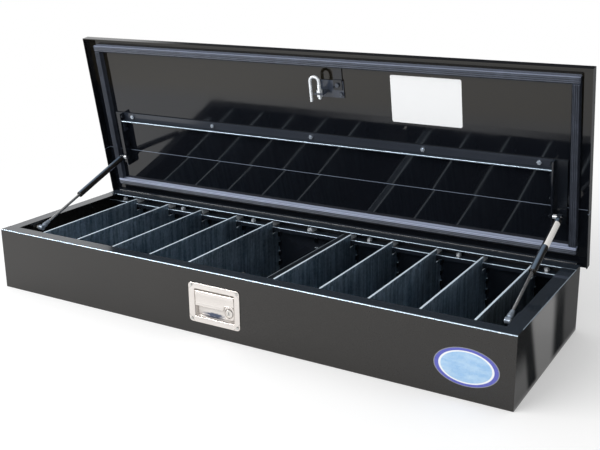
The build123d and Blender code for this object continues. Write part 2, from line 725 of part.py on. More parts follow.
with BuildPart() as striker_nuts:
    for start in (lug_reach - LOCK_NUT, lug_reach + LUG_SHEET):
        nut_plane = Plane(origin=hinge_at + reach_dir * start, x_dir=(1, 0, 0), z_dir=reach_dir)
        with BuildSketch(nut_plane):
            with Locations((rod_x, -STRIKER_DEPTH)):
                RegularPolygon(NUT_FLATS / 2 + 1, 6, major_radius=False)
                Circle(STRIKER_R, mode=Mode.SUBTRACT)
        extrude(amount=LOCK_NUT)
    with BuildSketch(lid_plane.offset(plate_face + STRIKER_SHEET)):
        with Locations((rod_x + STRAP_NUT_AT[0], lug_reach + STRAP_NUT_AT[1])):
            RegularPolygon(BAR_NUT_FLATS / 2, 6, major_radius=False)
    extrude(amount=SMALL_NUT)
    with BuildSketch(lid_plane.offset(plate_face)):
        with Locations((rod_x + BASE_NUT_AT[0], lug_reach + BASE_NUT_AT[1])):
            RegularPolygon(BAR_NUT_FLATS / 2, 6, major_radius=False)
    extrude(amount=SMALL_NUT)
striker_nuts.part.label = "striker_nuts"
export_step(striker_nuts.part, "parts/striker_nuts.step")

# ---------------------------------------------------------------- gas struts
foot_at = Vector(0, FRONT_Y + STRUT_FOOT_Y, STRUT_FOOT_Z)
head_at = hinge_at + reach_dir * STRUT_HEAD_REACH + depth_dir * STRUT_HEAD_DEPTH
strut_dir = (head_at - foot_at).normalized()
strut_length = (head_at - foot_at).length
tube_start = strut_length - NECK - TUBE_LENGTH
rod_end = tube_start + ROD_IN_TUBE
for side, name in ((-1, "left"), (1, "right")):
    across = Vector(side * STRUT_X, 0, 0)
    strut_plane = Plane(origin=foot_at + across, x_dir=(1, 0, 0), z_dir=strut_dir)
    foot_plane = Plane(origin=foot_at + across, x_dir=(0, 1, 0), z_dir=(side, 0, 0))
    head_plane = Plane(origin=head_at + across, x_dir=(0, 1, 0), z_dir=(-side, 0, 0))

    with BuildPart() as strut_tube:
        with BuildSketch(strut_plane.offset(tube_start)):
            Circle(TUBE_R)
        extrude(amount=TUBE_LENGTH)
        chamfer(strut_tube.faces().sort_by(SortBy.AREA)[:2].edges(), TUBE_CHAMFER)
        with BuildSketch(strut_plane.offset(tube_start + TUBE_WALL_END)):
            Circle(TUBE_BORE_R)
        extrude(amount=TUBE_LENGTH - 2 * TUBE_WALL_END, mode=Mode.SUBTRACT)
        with BuildSketch(strut_plane.offset(tube_start)):
            Circle(ROD_R + ROD_RUN)
        extrude(amount=TUBE_WALL_END, mode=Mode.SUBTRACT)
    strut_tube.part.label = f"{name}_strut_tube"
    export_step(strut_tube.part, f"parts/{name}_strut_tube.step")

    with BuildPart() as strut_rod:
        with BuildSketch(strut_plane.offset(NECK)):
            Circle(ROD_R)
        extrude(amount=rod_end - NECK)
        with BuildSketch(strut_plane.offset(rod_end - PISTON)):
            Circle(TUBE_BORE_R - 4 * ROD_RUN)
        extrude(amount=PISTON)
    strut_rod.part.label = f"{name}_strut_rod"
    export_step(strut_rod.part, f"parts/{name}_strut_rod.step")

    with BuildPart() as rod_socket:
        with BuildSketch(foot_plane.offset(-SOCKET_LENGTH / 2)):
            Circle(SOCKET_R)
        extrude(amount=SOCKET_LENGTH)
        with BuildSketch(strut_plane):
            Circle(ROD_R + 1)
        extrude(amount=NECK)
        with BuildSketch(foot_plane.offset(-BALL_R - BALL_GAP)):
            Circle(BALL_R + BALL_GAP)
        extrude(amount=SOCKET_LENGTH, mode=Mode.SUBTRACT)
    rod_socket.part.label = f"{name}_rod_socket"
    export_step(rod_socket.part, f"parts/{name}_rod_socket.step")

    with BuildPart() as tube_socket:
        with BuildSketch(head_plane.offset(-SOCKET_LENGTH / 2)):
            Circle(SOCKET_R)
        extrude(amount=SOCKET_LENGTH)
        with BuildSketch(strut_plane.offset(strut_length)):
            Circle(ROD_R + 2)
        extrude(amount=-NECK)
        with BuildSketch(head_plane.offset(-BALL_R)):
            Circle(BALL_R)
        extrude(amount=SOCKET_LENGTH, mode=Mode.SUBTRACT)
    tube_socket.part.label = f"{name}_tube_socket"
    export_step(tube_socket.part, f"parts/{name}_tube_socket.step")

    with BuildPart() as lid_stud:
        with BuildSketch(head_plane.offset(-BALL_R)):
            Circle(BALL_R)
        extrude(amount=SOCKET_LENGTH / 2 + BALL_R)
        with BuildSketch(head_plane.offset(SOCKET_LENGTH / 2)):
            Circle(BALL_R + 1)
        extrude(amount=STRUT_X - PLATE_X - SOCKET_LENGTH / 2 - BALL_GAP)
    lid_stud.part.label = f"{name}_lid_stud"
    export_step(lid_stud.part, f"parts/{name}_lid_stud.step")

mount_x = END_RIM_X - STRUT_PLATE
foot_y = FRONT_Y + STRUT_FOOT_Y
with BuildPart() as box_studs:
    for side in (-1, 1):
        ball_start = side * (STRUT_X - BALL_R)
        with BuildSketch(Plane(origin=(ball_start, foot_y, STRUT_FOOT_Z), z_dir=(side, 0, 0))):
            Circle(BALL_R)
        extrude(amount=BALL_R + SOCKET_LENGTH / 2 + 1)
        with BuildSketch(Plane(origin=(side * STRUT_X, foot_y, STRUT_FOOT_Z), z_dir=(side, 0, 0))):
            Circle(STUD_R)
        extrude(amount=mount_x - STRUT_X + STRUT_PLATE)
        with BuildSketch(Plane(origin=(side * mount_x, foot_y, STRUT_FOOT_Z), z_dir=(side, 0, 0))):
            RegularPolygon(BALL_R, 6, major_radius=False)
        extrude(amount=-STUD_R)
box_studs.part.label = "box_studs"
export_step(box_studs.part, "parts/box_studs.step")

with BuildPart() as strut_brackets:
    for side in (-1, 1):
        with BuildSketch(Plane.XY.offset(HEIGHT - SHEET)):
            with Locations((side * (mount_x + STRUT_FOOT_SIZE[0] / 2), foot_y)):
                Rectangle(*STRUT_FOOT_SIZE)
        extrude(amount=-STRUT_FOOT_SHEET)
        mount_at = (side * mount_x, foot_y, STRUT_FOOT_Z)
        with BuildSketch(Plane(origin=mount_at, x_dir=(0, 1, 0), z_dir=(side, 0, 0))):
            with Locations((0, -side * STRUT_PLATE_DROP)):
                Rectangle(*STRUT_PLATE_SIZE)
            Circle(STUD_R, mode=Mode.SUBTRACT)
        extrude(amount=STRUT_PLATE)
strut_brackets.part.label = "strut_brackets"
export_step(strut_brackets.part, "parts/strut_brackets.step")

ring_at = foot_at + Vector(STRUT_X, 0, 0) + strut_dir * (tube_start + RING_START)
with BuildPart() as strut_label:
    with BuildSketch(Plane(origin=ring_at, z_dir=strut_dir)):
        Circle(TUBE_R + RING_THICK)
        Circle(TUBE_R, mode=Mode.SUBTRACT)
    extrude(amount=RING_LENGTH)
strut_label.part.label = "strut_label"
export_step(strut_label.part, "parts/strut_label.step")

# ---------------------------------------------------------------- paddle latch
face_y = FRONT_Y - GASKET
dish_back = face_y + RECESS_DEPTH
paddle_pivot_y = FRONT_Y + PADDLE_PIVOT
paddle_pivot_z = LATCH_Z + RECESS_HEIGHT / 2 - PADDLE_PIVOT
hook_pivot_y = dish_back + HOOK_PIVOT[0]
hook_pivot_z = paddle_pivot_z - HOOK_PIVOT[1]
tail_x = STRIKER_X - HOOK_SHEET / 2
rivet_span = (DISH_WIDTH - 2 * RIVET_INSET[0], DISH_HEIGHT - 2 * RIVET_INSET[1])
striker_y = HINGE_Y - STRIKER_REACH
striker_z = HEIGHT - STRIKER_DEPTH

with BuildPart() as latch_gasket:
    with BuildSketch(Plane.XZ.offset(-FRONT_Y)):
        with Locations((LATCH_X, LATCH_Z)):
            RectangleRounded(DISH_WIDTH - 2 * GASKET, DISH_HEIGHT - 2 * GASKET, DISH_CORNER - GASKET)
            Rectangle(RECESS_WIDTH + 2 * DISH_SHEET, RECESS_HEIGHT + 2 * DISH_SHEET, mode=Mode.SUBTRACT)
            with GridLocations(*rivet_span, 2, 2):
                Circle(STUD_R, mode=Mode.SUBTRACT)
    extrude(amount=GASKET)
latch_gasket.part.label = "latch_gasket"
export_step(latch_gasket.part, "parts/latch_gasket.step")

with BuildPart() as latch_dish:
    with BuildSketch(Plane.XZ.offset(-face_y)):
        with Locations((LATCH_X, LATCH_Z)):
            RectangleRounded(DISH_WIDTH, DISH_HEIGHT, DISH_CORNER)
    extrude(amount=DISH_SHEET)
    with BuildSketch(Plane.XZ.offset(-face_y)):
        with Locations((LATCH_X, LATCH_Z)):
            Rectangle(RECESS_WIDTH + 2 * DISH_SHEET, RECESS_HEIGHT + 2 * DISH_SHEET)
    extrude(amount=-RECESS_DEPTH)
    rim = latch_dish.faces().sort_by(Axis.Y)[0].outer_wire().edges()
    fillet(rim, DISH_SHEET * 0.8)
    with BuildSketch(Plane.XZ.offset(-face_y + DISH_SHEET)):
        with Locations((LATCH_X, LATCH_Z)):
            Rectangle(RECESS_WIDTH, RECESS_HEIGHT)
    extrude(amount=-RECESS_DEPTH, mode=Mode.SUBTRACT)
    with BuildSketch(Plane.XZ.offset(-dish_back)):
        with Locations((tail_x + TAIL_SHEET / 2, paddle_pivot_z - TAIL_SHEET)):
            Rectangle(TAIL_SHEET + 2 * PADDLE_GAP, TAIL_SLOT)
    extrude(amount=2 * DISH_SHEET, mode=Mode.SUBTRACT)
    with BuildSketch(Plane.XZ.offset(-face_y + DISH_SHEET)):
        with Locations((LATCH_X, LATCH_Z)):
            with GridLocations(*rivet_span, 2, 2):
                Circle(STUD_R)
    extrude(amount=-DISH_SHEET, mode=Mode.SUBTRACT)
latch_dish.part.label = "latch_dish"
export_step(latch_dish.part, "parts/latch_dish.step")

with BuildPart() as latch_rivets:
    with BuildSketch(Plane.XZ.offset(-FRONT_Y)):
        with Locations((LATCH_X, LATCH_Z)):
            with GridLocations(*rivet_span, 2, 2):
                Circle(STUD_R)
    extrude(amount=GASKET + DISH_SHEET)
    with BuildSketch(Plane.XZ.offset(-face_y + DISH_SHEET)):
        with Locations((LATCH_X, LATCH_Z)):
            with GridLocations(*rivet_span, 2, 2):
                Circle(STUD_R + RIVET_HEAD)
    extrude(amount=RIVET_HEAD, taper=40)
latch_rivets.part.label = "latch_rivets"
export_step(latch_rivets.part, "parts/latch_rivets.step")

paddle_width = RECESS_WIDTH - 2 * PADDLE_GAP
paddle_top = paddle_pivot_z
boss_width = 2 * (LATCH_X + RECESS_WIDTH / 2 - PADDLE_GAP - LOCK_X)
paddle_axis = Plane(origin=(LATCH_X - paddle_width / 2, paddle_pivot_y, paddle_pivot_z), z_dir=(1, 0, 0))
with BuildPart() as paddle:
    with BuildSketch(Plane.XZ.offset(-face_y)):
        with Locations((LATCH_X, paddle_top - PADDLE_DROP / 2)):
            Rectangle(paddle_width, PADDLE_DROP)
        with Locations((LOCK_X, LOCK_Z)):
            RectangleRounded(boss_width, boss_width + BOSS_CORNER, BOSS_CORNER)
    extrude(amount=-PADDLE_SHEET)
    with BuildSketch(Plane.XZ.offset(-face_y - PADDLE_SHEET)):
        with Locations((LOCK_X, LOCK_Z)):
            Circle(LOCK_R + LOCK_WALL)
    extrude(amount=-LOCK_BOSS)
    with BuildSketch(Plane.XZ.offset(-face_y - PADDLE_SHEET)):
        with Locations((LATCH_X - boss_width / 2, paddle_top - PADDLE_DROP + PADDLE_LIP[0] / 2)):
            Rectangle(paddle_width - boss_width, PADDLE_LIP[0])
    extrude(amount=-PADDLE_LIP[1])
    with BuildSketch(Plane.XZ.offset(-face_y)):
        with Locations((LOCK_X, LOCK_Z)):
            Circle(LOCK_R)
    extrude(amount=-PADDLE_SHEET - LOCK_BOSS, mode=Mode.SUBTRACT)
    with BuildSketch(paddle_axis):
        Circle(PADDLE_PIN_R + DISH_SHEET)
    extrude(amount=paddle_width)
    with BuildSketch(paddle_axis):
        Circle(PADDLE_PIN_R + PIN_CLEARANCE)
    extrude(amount=paddle_width, mode=Mode.SUBTRACT)
    with BuildSketch(Plane.YZ.offset(tail_x)):
        with Locations((dish_back - TAIL_GAP, paddle_pivot_z)):
            Rectangle(2 * (dish_back - TAIL_GAP - paddle_pivot_y - PADDLE_PIN_R - PADDLE_GAP), TAIL_SHEET)
    extrude(amount=TAIL_SHEET)
paddle.part.label = "paddle"
export_step(paddle.part, "parts/paddle.step")

with BuildPart() as lock_barrel:
    with BuildSketch(Plane.XZ.offset(-face_y + LOCK_PROUD)):
        with Locations((LOCK_X, LOCK_Z)):
            Circle(LOCK_R)
            Circle(PLUG_R + PIN_CLEARANCE, mode=Mode.SUBTRACT)
    extrude(amount=-PADDLE_SHEET - LOCK_BOSS - LOCK_PROUD)
    chamfer(lock_barrel.faces().sort_by(Axis.Y)[0].outer_wire().edges(), LOCK_CHAMFER)
lock_barrel.part.label = "lock_barrel"
export_step(lock_barrel.part, "parts/lock_barrel.step")

key_width, key_height, key_depth = KEY_SLOT
with BuildPart() as lock_plug:
    with BuildSketch(Plane.XZ.offset(-face_y + PLUG_PROUD)):
        with Locations((LOCK_X, LOCK_Z)):
            Circle(PLUG_R)
    extrude(amount=-PADDLE_SHEET - LOCK_BOSS)
    with BuildSketch(Plane.XZ.offset(-face_y + PLUG_PROUD)):
        with Locations((LOCK_X, LOCK_Z)):
            Rectangle(key_width, key_height)
    extrude(amount=-key_depth, mode=Mode.SUBTRACT)
lock_plug.part.label = "lock_plug"
export_step(lock_plug.part, "parts/lock_plug.step")

cheek_gap = HOOK_SHEET / 2 + CATCH_GAP
case_low = hook_pivot_z - CASE_HALF
case_back = hook_pivot_y + CASE_LIP
with BuildPart() as latch_case:
    with BuildSketch(
        Plane.YZ.offset(STRIKER_X - cheek_gap - DISH_SHEET),
        Plane.YZ.offset(STRIKER_X + cheek_gap),
    ):
        with BuildLine():
            Polyline(
                (dish_back, case_low),
                (dish_back, hook_pivot_z + CASE_HALF),
                (case_back + CASE_CORNER, hook_pivot_z + CASE_HALF),
                (case_back + CASE_CORNER, case_low + CASE_CORNER),
                (case_back, case_low),
                close=True,
            )
        make_face()
        with Locations((hook_pivot_y, hook_pivot_z)):
            Circle(HOOK_PIN_R, mode=Mode.SUBTRACT)
    extrude(amount=DISH_SHEET)
    with BuildSketch(Plane.XY.offset(case_low)):
        with Locations((STRIKER_X, (dish_back + case_back) / 2)):
            Rectangle(2 * cheek_gap, case_back - dish_back)
    extrude(amount=DISH_SHEET)
latch_case.part.label = "latch_case"
export_step(latch_case.part, "parts/latch_case.step")

pins = (
    (LATCH_X - RECESS_WIDTH / 2, paddle_pivot_y, paddle_pivot_z, PADDLE_PIN_R, RECESS_WIDTH),
    (STRIKER_X - cheek_gap - CASE_PIN, hook_pivot_y, hook_pivot_z, HOOK_PIN_R, 2 * (cheek_gap + CASE_PIN)),
)
with BuildPart() as latch_pins:
    for start, pin_y, pin_z, pin_r, pin_length in pins:
        with BuildSketch(Plane(origin=(start, pin_y, pin_z), z_dir=(1, 0, 0))):
            Circle(pin_r)
        extrude(amount=pin_length)
latch_pins.part.label = "latch_pins"
export_step(latch_pins.part, "parts/latch_pins.step")

arm_back = striker_y - STRIKER_R - CATCH_GAP
beak_low = striker_z + STRIKER_R + BEAK_GAP
beak_top = HEIGHT - 2 * SHEET
tail_gap, tail_height = HOOK_TAIL
with BuildPart() as latch_hook:
    with BuildSketch(Plane.YZ.offset(STRIKER_X - HOOK_SHEET / 2)):
        with Locations((hook_pivot_y, hook_pivot_z)):
            Circle(2 * HOOK_PIN_R + CATCH_GAP)
        with BuildLine():
            Polyline(
                (hook_pivot_y - HOOK_WAIST, hook_pivot_z),
                (arm_back - HOOK_ARM, beak_low - HOOK_WAIST),
                (arm_back - HOOK_ARM, beak_top),
                (arm_back + HOOK_BEAK, beak_top),
                (striker_y + STRIKER_R + CATCH_GAP, beak_low),
                (arm_back, beak_low),
                (arm_back, striker_z - HOOK_NECK),
                (hook_pivot_y + HOOK_WAIST, hook_pivot_z),
                close=True,
            )
        make_face()
        with Locations(((dish_back + tail_gap + hook_pivot_y) / 2, hook_pivot_z)):
            Rectangle(hook_pivot_y - dish_back - tail_gap, tail_height)
        with Locations((hook_pivot_y, hook_pivot_z)):
            Circle(HOOK_PIN_R + PIN_CLEARANCE, mode=Mode.SUBTRACT)
    extrude(amount=HOOK_SHEET)
latch_hook.part.label = "latch_hook"
export_step(latch_hook.part, "parts/latch_hook.step")

# ---------------------------------------------------------------- oval badge
with BuildPart() as front_badge:
    with BuildSketch(Plane.XZ.offset(-FRONT_Y)):
        with Locations((HALF - BADGE_TO_END, HEIGHT - BADGE_DROP)):
            Ellipse(*BADGE_HALF)
    extrude(amount=BADGE_THICK)
front_badge.part.label = "front_badge"
export_step(front_badge.part, "parts/front_badge.step")

# ---------------------------------------------------------------- axes and travel of the moving parts
shut_head = Vector(0, HINGE_Y - STRUT_HEAD_REACH, HEIGHT - STRUT_HEAD_DEPTH)
open_angle = degrees(atan2(strut_dir.Z, strut_dir.Y))
shut_angle = degrees(atan2((shut_head - foot_at).Z, (shut_head - foot_at).Y))
shut_length = hypot((shut_head - foot_at).Y, (shut_head - foot_at).Z)
print("hinge", HINGE_Y, HEIGHT, "strut foot", foot_at, "direction", strut_dir)
print("strut length open", strut_length, "shut", shut_length, "swing", open_angle - shut_angle)
print("paddle pivot", paddle_pivot_y, paddle_pivot_z, "hook pivot", hook_pivot_y, hook_pivot_z)
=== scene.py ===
"""Finishes, rubber seals, badge, threads and studio for a low truck bed tool box with divider plates."""

import logging
import math
from dataclasses import dataclass
from enum import Enum
from functools import cached_property
from typing import Optional, Sequence, Union

import bpy
import numpy as np
from mathutils import Matrix, Vector


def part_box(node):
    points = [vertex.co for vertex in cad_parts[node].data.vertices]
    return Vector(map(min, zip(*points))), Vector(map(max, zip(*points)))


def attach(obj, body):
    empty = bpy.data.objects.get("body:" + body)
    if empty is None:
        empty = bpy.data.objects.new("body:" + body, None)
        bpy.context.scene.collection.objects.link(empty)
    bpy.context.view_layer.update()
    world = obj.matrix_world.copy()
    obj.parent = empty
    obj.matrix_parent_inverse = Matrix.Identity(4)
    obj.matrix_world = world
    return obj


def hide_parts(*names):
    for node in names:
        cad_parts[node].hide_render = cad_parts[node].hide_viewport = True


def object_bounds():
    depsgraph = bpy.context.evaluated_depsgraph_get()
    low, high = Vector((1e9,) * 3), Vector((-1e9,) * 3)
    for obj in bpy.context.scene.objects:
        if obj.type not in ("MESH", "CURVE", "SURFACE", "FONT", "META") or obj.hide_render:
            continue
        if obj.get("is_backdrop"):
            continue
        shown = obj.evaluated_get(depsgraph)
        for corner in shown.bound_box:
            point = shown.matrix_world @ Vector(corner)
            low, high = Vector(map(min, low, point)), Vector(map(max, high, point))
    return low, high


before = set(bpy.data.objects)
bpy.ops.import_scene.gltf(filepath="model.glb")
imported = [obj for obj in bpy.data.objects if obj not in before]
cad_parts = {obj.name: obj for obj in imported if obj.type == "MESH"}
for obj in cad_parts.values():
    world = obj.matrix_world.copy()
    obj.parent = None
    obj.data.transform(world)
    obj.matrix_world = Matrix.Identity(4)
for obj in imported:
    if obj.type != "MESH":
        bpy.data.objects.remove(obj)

LOG = logging.getLogger("tool_box")
MM = 0.001
FULL_TURN = 2.0 * math.pi

Colour = tuple[float, float, float]
Point = tuple[float, float, float]
Pair = tuple[float, float]
Row = tuple[float, float, float, float]
Points = np.ndarray
Faces = list[list[int]]
Piece = bpy.types.Object
Socket = bpy.types.NodeSocket
Node = bpy.types.Node
Term = Union["Channel", float]


def middle(node: str) -> Point:
    """The middle of a CAD node's box, in metres."""
    return tuple(float(low + high) / 2 for low, high in zip(*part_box(node)))


@dataclass(frozen=True)
class LidFrame:
    """The lid's own directions: along the box, out from the hinge, and into the box when shut.

    Attributes:
        hinge: A point on the hinge line, in metres.
        lean: How far the open lid leans forward of upright, in radians.
        rise: Height of the skin's inner face over the rim plane.
        crease: Distance of the skin's crease from the hinge line.
        fall: Slope of the skin behind the crease, in radians.
    """

    hinge: Point
    lean: float = math.radians(9.8)
    rise: float = 0.018
    crease: float = 0.144
    fall: float = math.radians(1.0)

    def point(self, along: Points, reach: Points, depth: Points) -> Points:
        """Points in the row frame: hinge + along x + reach out + depth in.

        Args:
            along: Distance along the box from its middle.
            reach: Distance out from the hinge line.
            depth: Distance into the box.

        Returns:
            The points, with x, y and z last.
        """
        out = np.array([0.0, -math.sin(self.lean), math.cos(self.lean)])
        into = np.array([0.0, -math.cos(self.lean), -math.sin(self.lean)])
        along, reach, depth = (part[..., None] for part in np.broadcast_arrays(along, reach, depth))
        return np.array(self.hinge) + along * np.array([1.0, 0.0, 0.0]) + reach * out + depth * into

    def skin(self, reach: Points) -> Points:
        """Depth of the skin's inner face: level from the crease out, and falling towards the hinge."""
        return -self.rise + np.maximum(self.crease - reach, 0.0) * math.tan(self.fall)


LID = LidFrame(middle("hinge_pin"))


# ------------------------------------------------------------------ shader writing


class Noise(Enum):
    """Kinds of texture node: cloudy noise, and cells of one random number each."""

    CLOUD = "TexNoise"
    CELLS = "TexVoronoi"


@dataclass(frozen=True)
class Wire:
    """What one output of a node tree carries.

    Attributes:
        graph: The tree's writer.
        socket: The output.
    """

    graph: "Graph"
    socket: Socket


class Paint(Wire):
    """A colour that varies over a surface; it is mixed through Mix nodes only."""


class Channel(Wire):
    """A number that varies over a surface; arithmetic on it adds Math nodes."""

    def _math(self, operation: str, *terms: Term) -> "Channel":
        """Adds one Math node.

        Args:
            operation: The node's operation.
            *terms: Its inputs, in order.

        Returns:
            The node's answer.
        """
        node = self.graph.node("Math", dict(enumerate(terms)), operation=operation)
        return Channel(self.graph, node.outputs[0])

    def __add__(self, other: Term) -> "Channel":
        """The sum."""
        return self._math("ADD", self, other)

    def __radd__(self, other: float) -> "Channel":
        """The sum, with the number first."""
        return self._math("ADD", other, self)

    def __sub__(self, other: Term) -> "Channel":
        """The difference."""
        return self._math("SUBTRACT", self, other)

    def __rsub__(self, other: float) -> "Channel":
        """The difference, with the number first."""
        return self._math("SUBTRACT", other, self)

    def __mul__(self, other: Term) -> "Channel":
        """The product."""
        return self._math("MULTIPLY", self, other)

    def __rmul__(self, other: float) -> "Channel":
        """The product, with the number first."""
        return self._math("MULTIPLY", other, self)

    def __truediv__(self, other: Term) -> "Channel":
        """The quotient."""
        return self._math("DIVIDE", self, other)

    def __pow__(self, other: float) -> "Channel":
        """The power."""
        return self._math("POWER", self, other)

    def __abs__(self) -> "Channel":
        """The size without its sign."""
        return self._math("ABSOLUTE", self)

    def either(self, other: Term) -> "Channel":
        """The larger of two numbers."""
        return self._math("MAXIMUM", self, other)

    def wave(self) -> "Channel":
        """The sine."""
        return self._math("SINE", self)

    def step(self, low: float, high: float) -> "Channel":
        """0 below low, 1 above high and a smooth rise between.

        Args:
            low: Where the rise starts.
            high: Where it ends.

        Returns:
            The smoothed step.
        """
        sockets = {"Value": self, "From Min": low, "From Max": high}
        node = self.graph.node("MapRange", sockets, interpolation_type="SMOOTHSTEP")
        return Channel(self.graph, node.outputs["Result"])

    def inside(self, low: float, high: float, blur: float) -> "Channel":
        """1 from low to high and 0 beyond.

        Args:
            low: Start of the stretch.
            high: Its end.
            blur: Half the width of the change at either end.

        Returns:
            The smoothed stretch.
        """
        return self.step(low - blur, low + blur) * (1.0 - self.step(high - blur, high + blur))


class Graph:
    """Writes one node tree."""

    def __init__(self, tree: bpy.types.NodeTree) -> None:
        """Empties the tree and keeps it.

        Args:
            tree: The tree to write.
        """
        self.tree = tree
        tree.nodes.clear()

    def node(self, kind: str, sockets: Optional[dict] = None, **settings: object) -> Node:
        """Adds a node of any type.

        Args:
            kind: The node's type name, without its common start.
            sockets: Values, colours or wrapped sockets by input name or number.
            **settings: Properties set before anything else.

        Returns:
            The node.
        """
        made = self.tree.nodes.new("ShaderNode" + kind)
        for key, value in settings.items():
            setattr(made, key, value)
        for key, value in (sockets or {}).items():
            socket = made.inputs[key]
            if isinstance(value, Wire):
                value = value.socket
            if isinstance(value, Socket):
                self.tree.links.new(value, socket)
            else:
                socket.default_value = (*value, 1.0) if socket.type == "RGBA" else value
        return made

    @cached_property
    def here(self) -> Socket:
        """Object coordinates, in metres."""
        return self.node("TexCoord").outputs["Object"]

    def place(self, centre: Point = (0.0, 0.0, 0.0), scale: Point = (1.0, 1.0, 1.0),
              turn: Point = (0.0, 0.0, 0.0)) -> Socket:
        """Object coordinates, centred and then stretched and turned by a Mapping node.

        Args:
            centre: The point that becomes the origin, in metres.
            scale: Repeats per metre along each axis.
            turn: Turn about each axis, in radians.

        Returns:
            The mapped vector.
        """
        moved = self.node("VectorMath", {0: self.here, 1: centre}, operation="SUBTRACT").outputs[0]
        return self.node("Mapping", {"Vector": moved, "Rotation": turn, "Scale": scale}).outputs[0]

    def parts(self, vector: Socket) -> tuple[Channel, Channel, Channel]:
        """The three numbers of a vector."""
        split = self.node("SeparateXYZ", {"Vector": vector})
        return tuple(Channel(self, split.outputs[axis]) for axis in range(3))

    def facing(self, lean: float = 0.0) -> tuple[Channel, Channel, Channel]:
        """How far a face looks along each axis, from -1 to 1.

        Args:
            lean: Forward lean of the piece that is taken away first, in radians.

        Returns:
            The three parts of its direction.
        """
        source = self.node("TexCoord").outputs["Normal"]
        level = self.node("Mapping", {"Vector": source, "Rotation": (-lean, 0.0, 0.0)}, vector_type="VECTOR")
        return self.parts(level.outputs["Vector"])

    def lid_place(self, lean: float) -> tuple[Channel, Channel]:
        """Distances along the box and up from the hinge line, with a forward lean taken away first."""
        along, _, reach = self.parts(self.place(LID.hinge, turn=(-lean, 0.0, 0.0)))
        return along, reach

    def texture(self, scale: float, detail: float = 2.0, rough: float = 0.5, where: Optional[Socket] = None,
                kind: Noise = Noise.CLOUD) -> Channel:
        """A texture's number, from 0 to 1.

        Args:
            scale: Repeats per unit of the vector.
            detail: Octaves of the cloudy noise.
            rough: How strong its small octaves are.
            where: The vector at which it is read; the object's own coordinates if None.
            kind: Clouds or cells.

        Returns:
            The number.
        """
        sockets = {"Vector": where or self.here, "Scale": scale}
        if kind is Noise.CELLS:
            return self.parts(self.node(kind.value, sockets).outputs["Color"])[0]
        cloud = self.node(kind.value, {**sockets, "Detail": detail, "Roughness": rough})
        return Channel(self, cloud.outputs["Fac"])

    def mix(self, first: Union[Paint, Colour], second: Union[Paint, Colour], share: Channel) -> Paint:
        """A colour between two others.

        Args:
            first: The colour where share is 0.
            second: The colour where share is 1.
            share: The share of the second.

        Returns:
            The mixed colour.
        """
        made = self.node("Mix", {0: share, 6: first, 7: second}, data_type="RGBA", clamp_factor=True)
        return Paint(self, made.outputs[2])

    def bump(self, height: Channel, metres: float) -> Socket:
        """The normal bumped by a relief from 0 to 1, where 1 stands for so many metres."""
        return self.node("Bump", {"Height": height, "Distance": metres}).outputs["Normal"]

    def surface(self, **sockets: object) -> None:
        """Adds the surface shader and its output.

        Args:
            **sockets: Its inputs by name, with _ for a space.
        """
        named = {key.replace("_", " "): value for key, value in sockets.items()}
        self.output("Material", self.node("BsdfPrincipled", named))

    def output(self, kind: str, shader: Node) -> None:
        """Ends a Material's or a World's tree with a shader."""
        self.node("Output" + kind, {"Surface": shader.outputs[0]})

    def blend(self, share: Channel, first: Node, second: Node) -> Node:
        """A shader between two others, by the share of the second."""
        return self.node("MixShader", {0: share, 1: first.outputs[0], 2: second.outputs[0]})

    def ray(self, *kinds: str) -> Channel:
        """1 on rays of any of some kinds.

        Args:
            *kinds: Camera, Glossy or Transmission.

        Returns:
            The mask.
        """
        path = self.node("LightPath")
        mask, *others = (Channel(self, path.outputs[f"Is {kind} Ray"]) for kind in kinds)
        for other in others:
            mask = mask.either(other)
        return mask


# ------------------------------------------------------------------ finishes


class Slot(Enum):
    """The material slots that the finishes belong to."""

    COAT = "black_powder_coat"
    GALVANISED = "galvanised"
    STAINLESS = "polished_stainless"
    ZINC = "zinc_plate"
    RUBBER = "seal_rubber"
    LACQUER = "strut_lacquer"
    CHROME = "hard_chrome"
    LABEL = "white_label"
    BADGE = "badge_film"


@dataclass(frozen=True)
class Finish:
    """A finish that becomes one material.

    Attributes:
        name: The material's name.
        slot: The material slot that it belongs to; not used.
    """

    name: str
    slot: Slot

    def write(self, graph: Graph) -> None:
        """Writes the finish's nodes, in each kind of finish's own way."""
        raise NotImplementedError

    def material(self) -> bpy.types.Material:
        """Finds the finish's material, and makes it on first use.

        Returns:
            The material.
        """
        found = bpy.data.materials.get(self.name)
        if found is None:
            found = bpy.data.materials.new(self.name)
            found.use_nodes = True
            self.write(Graph(found.node_tree))
        return found


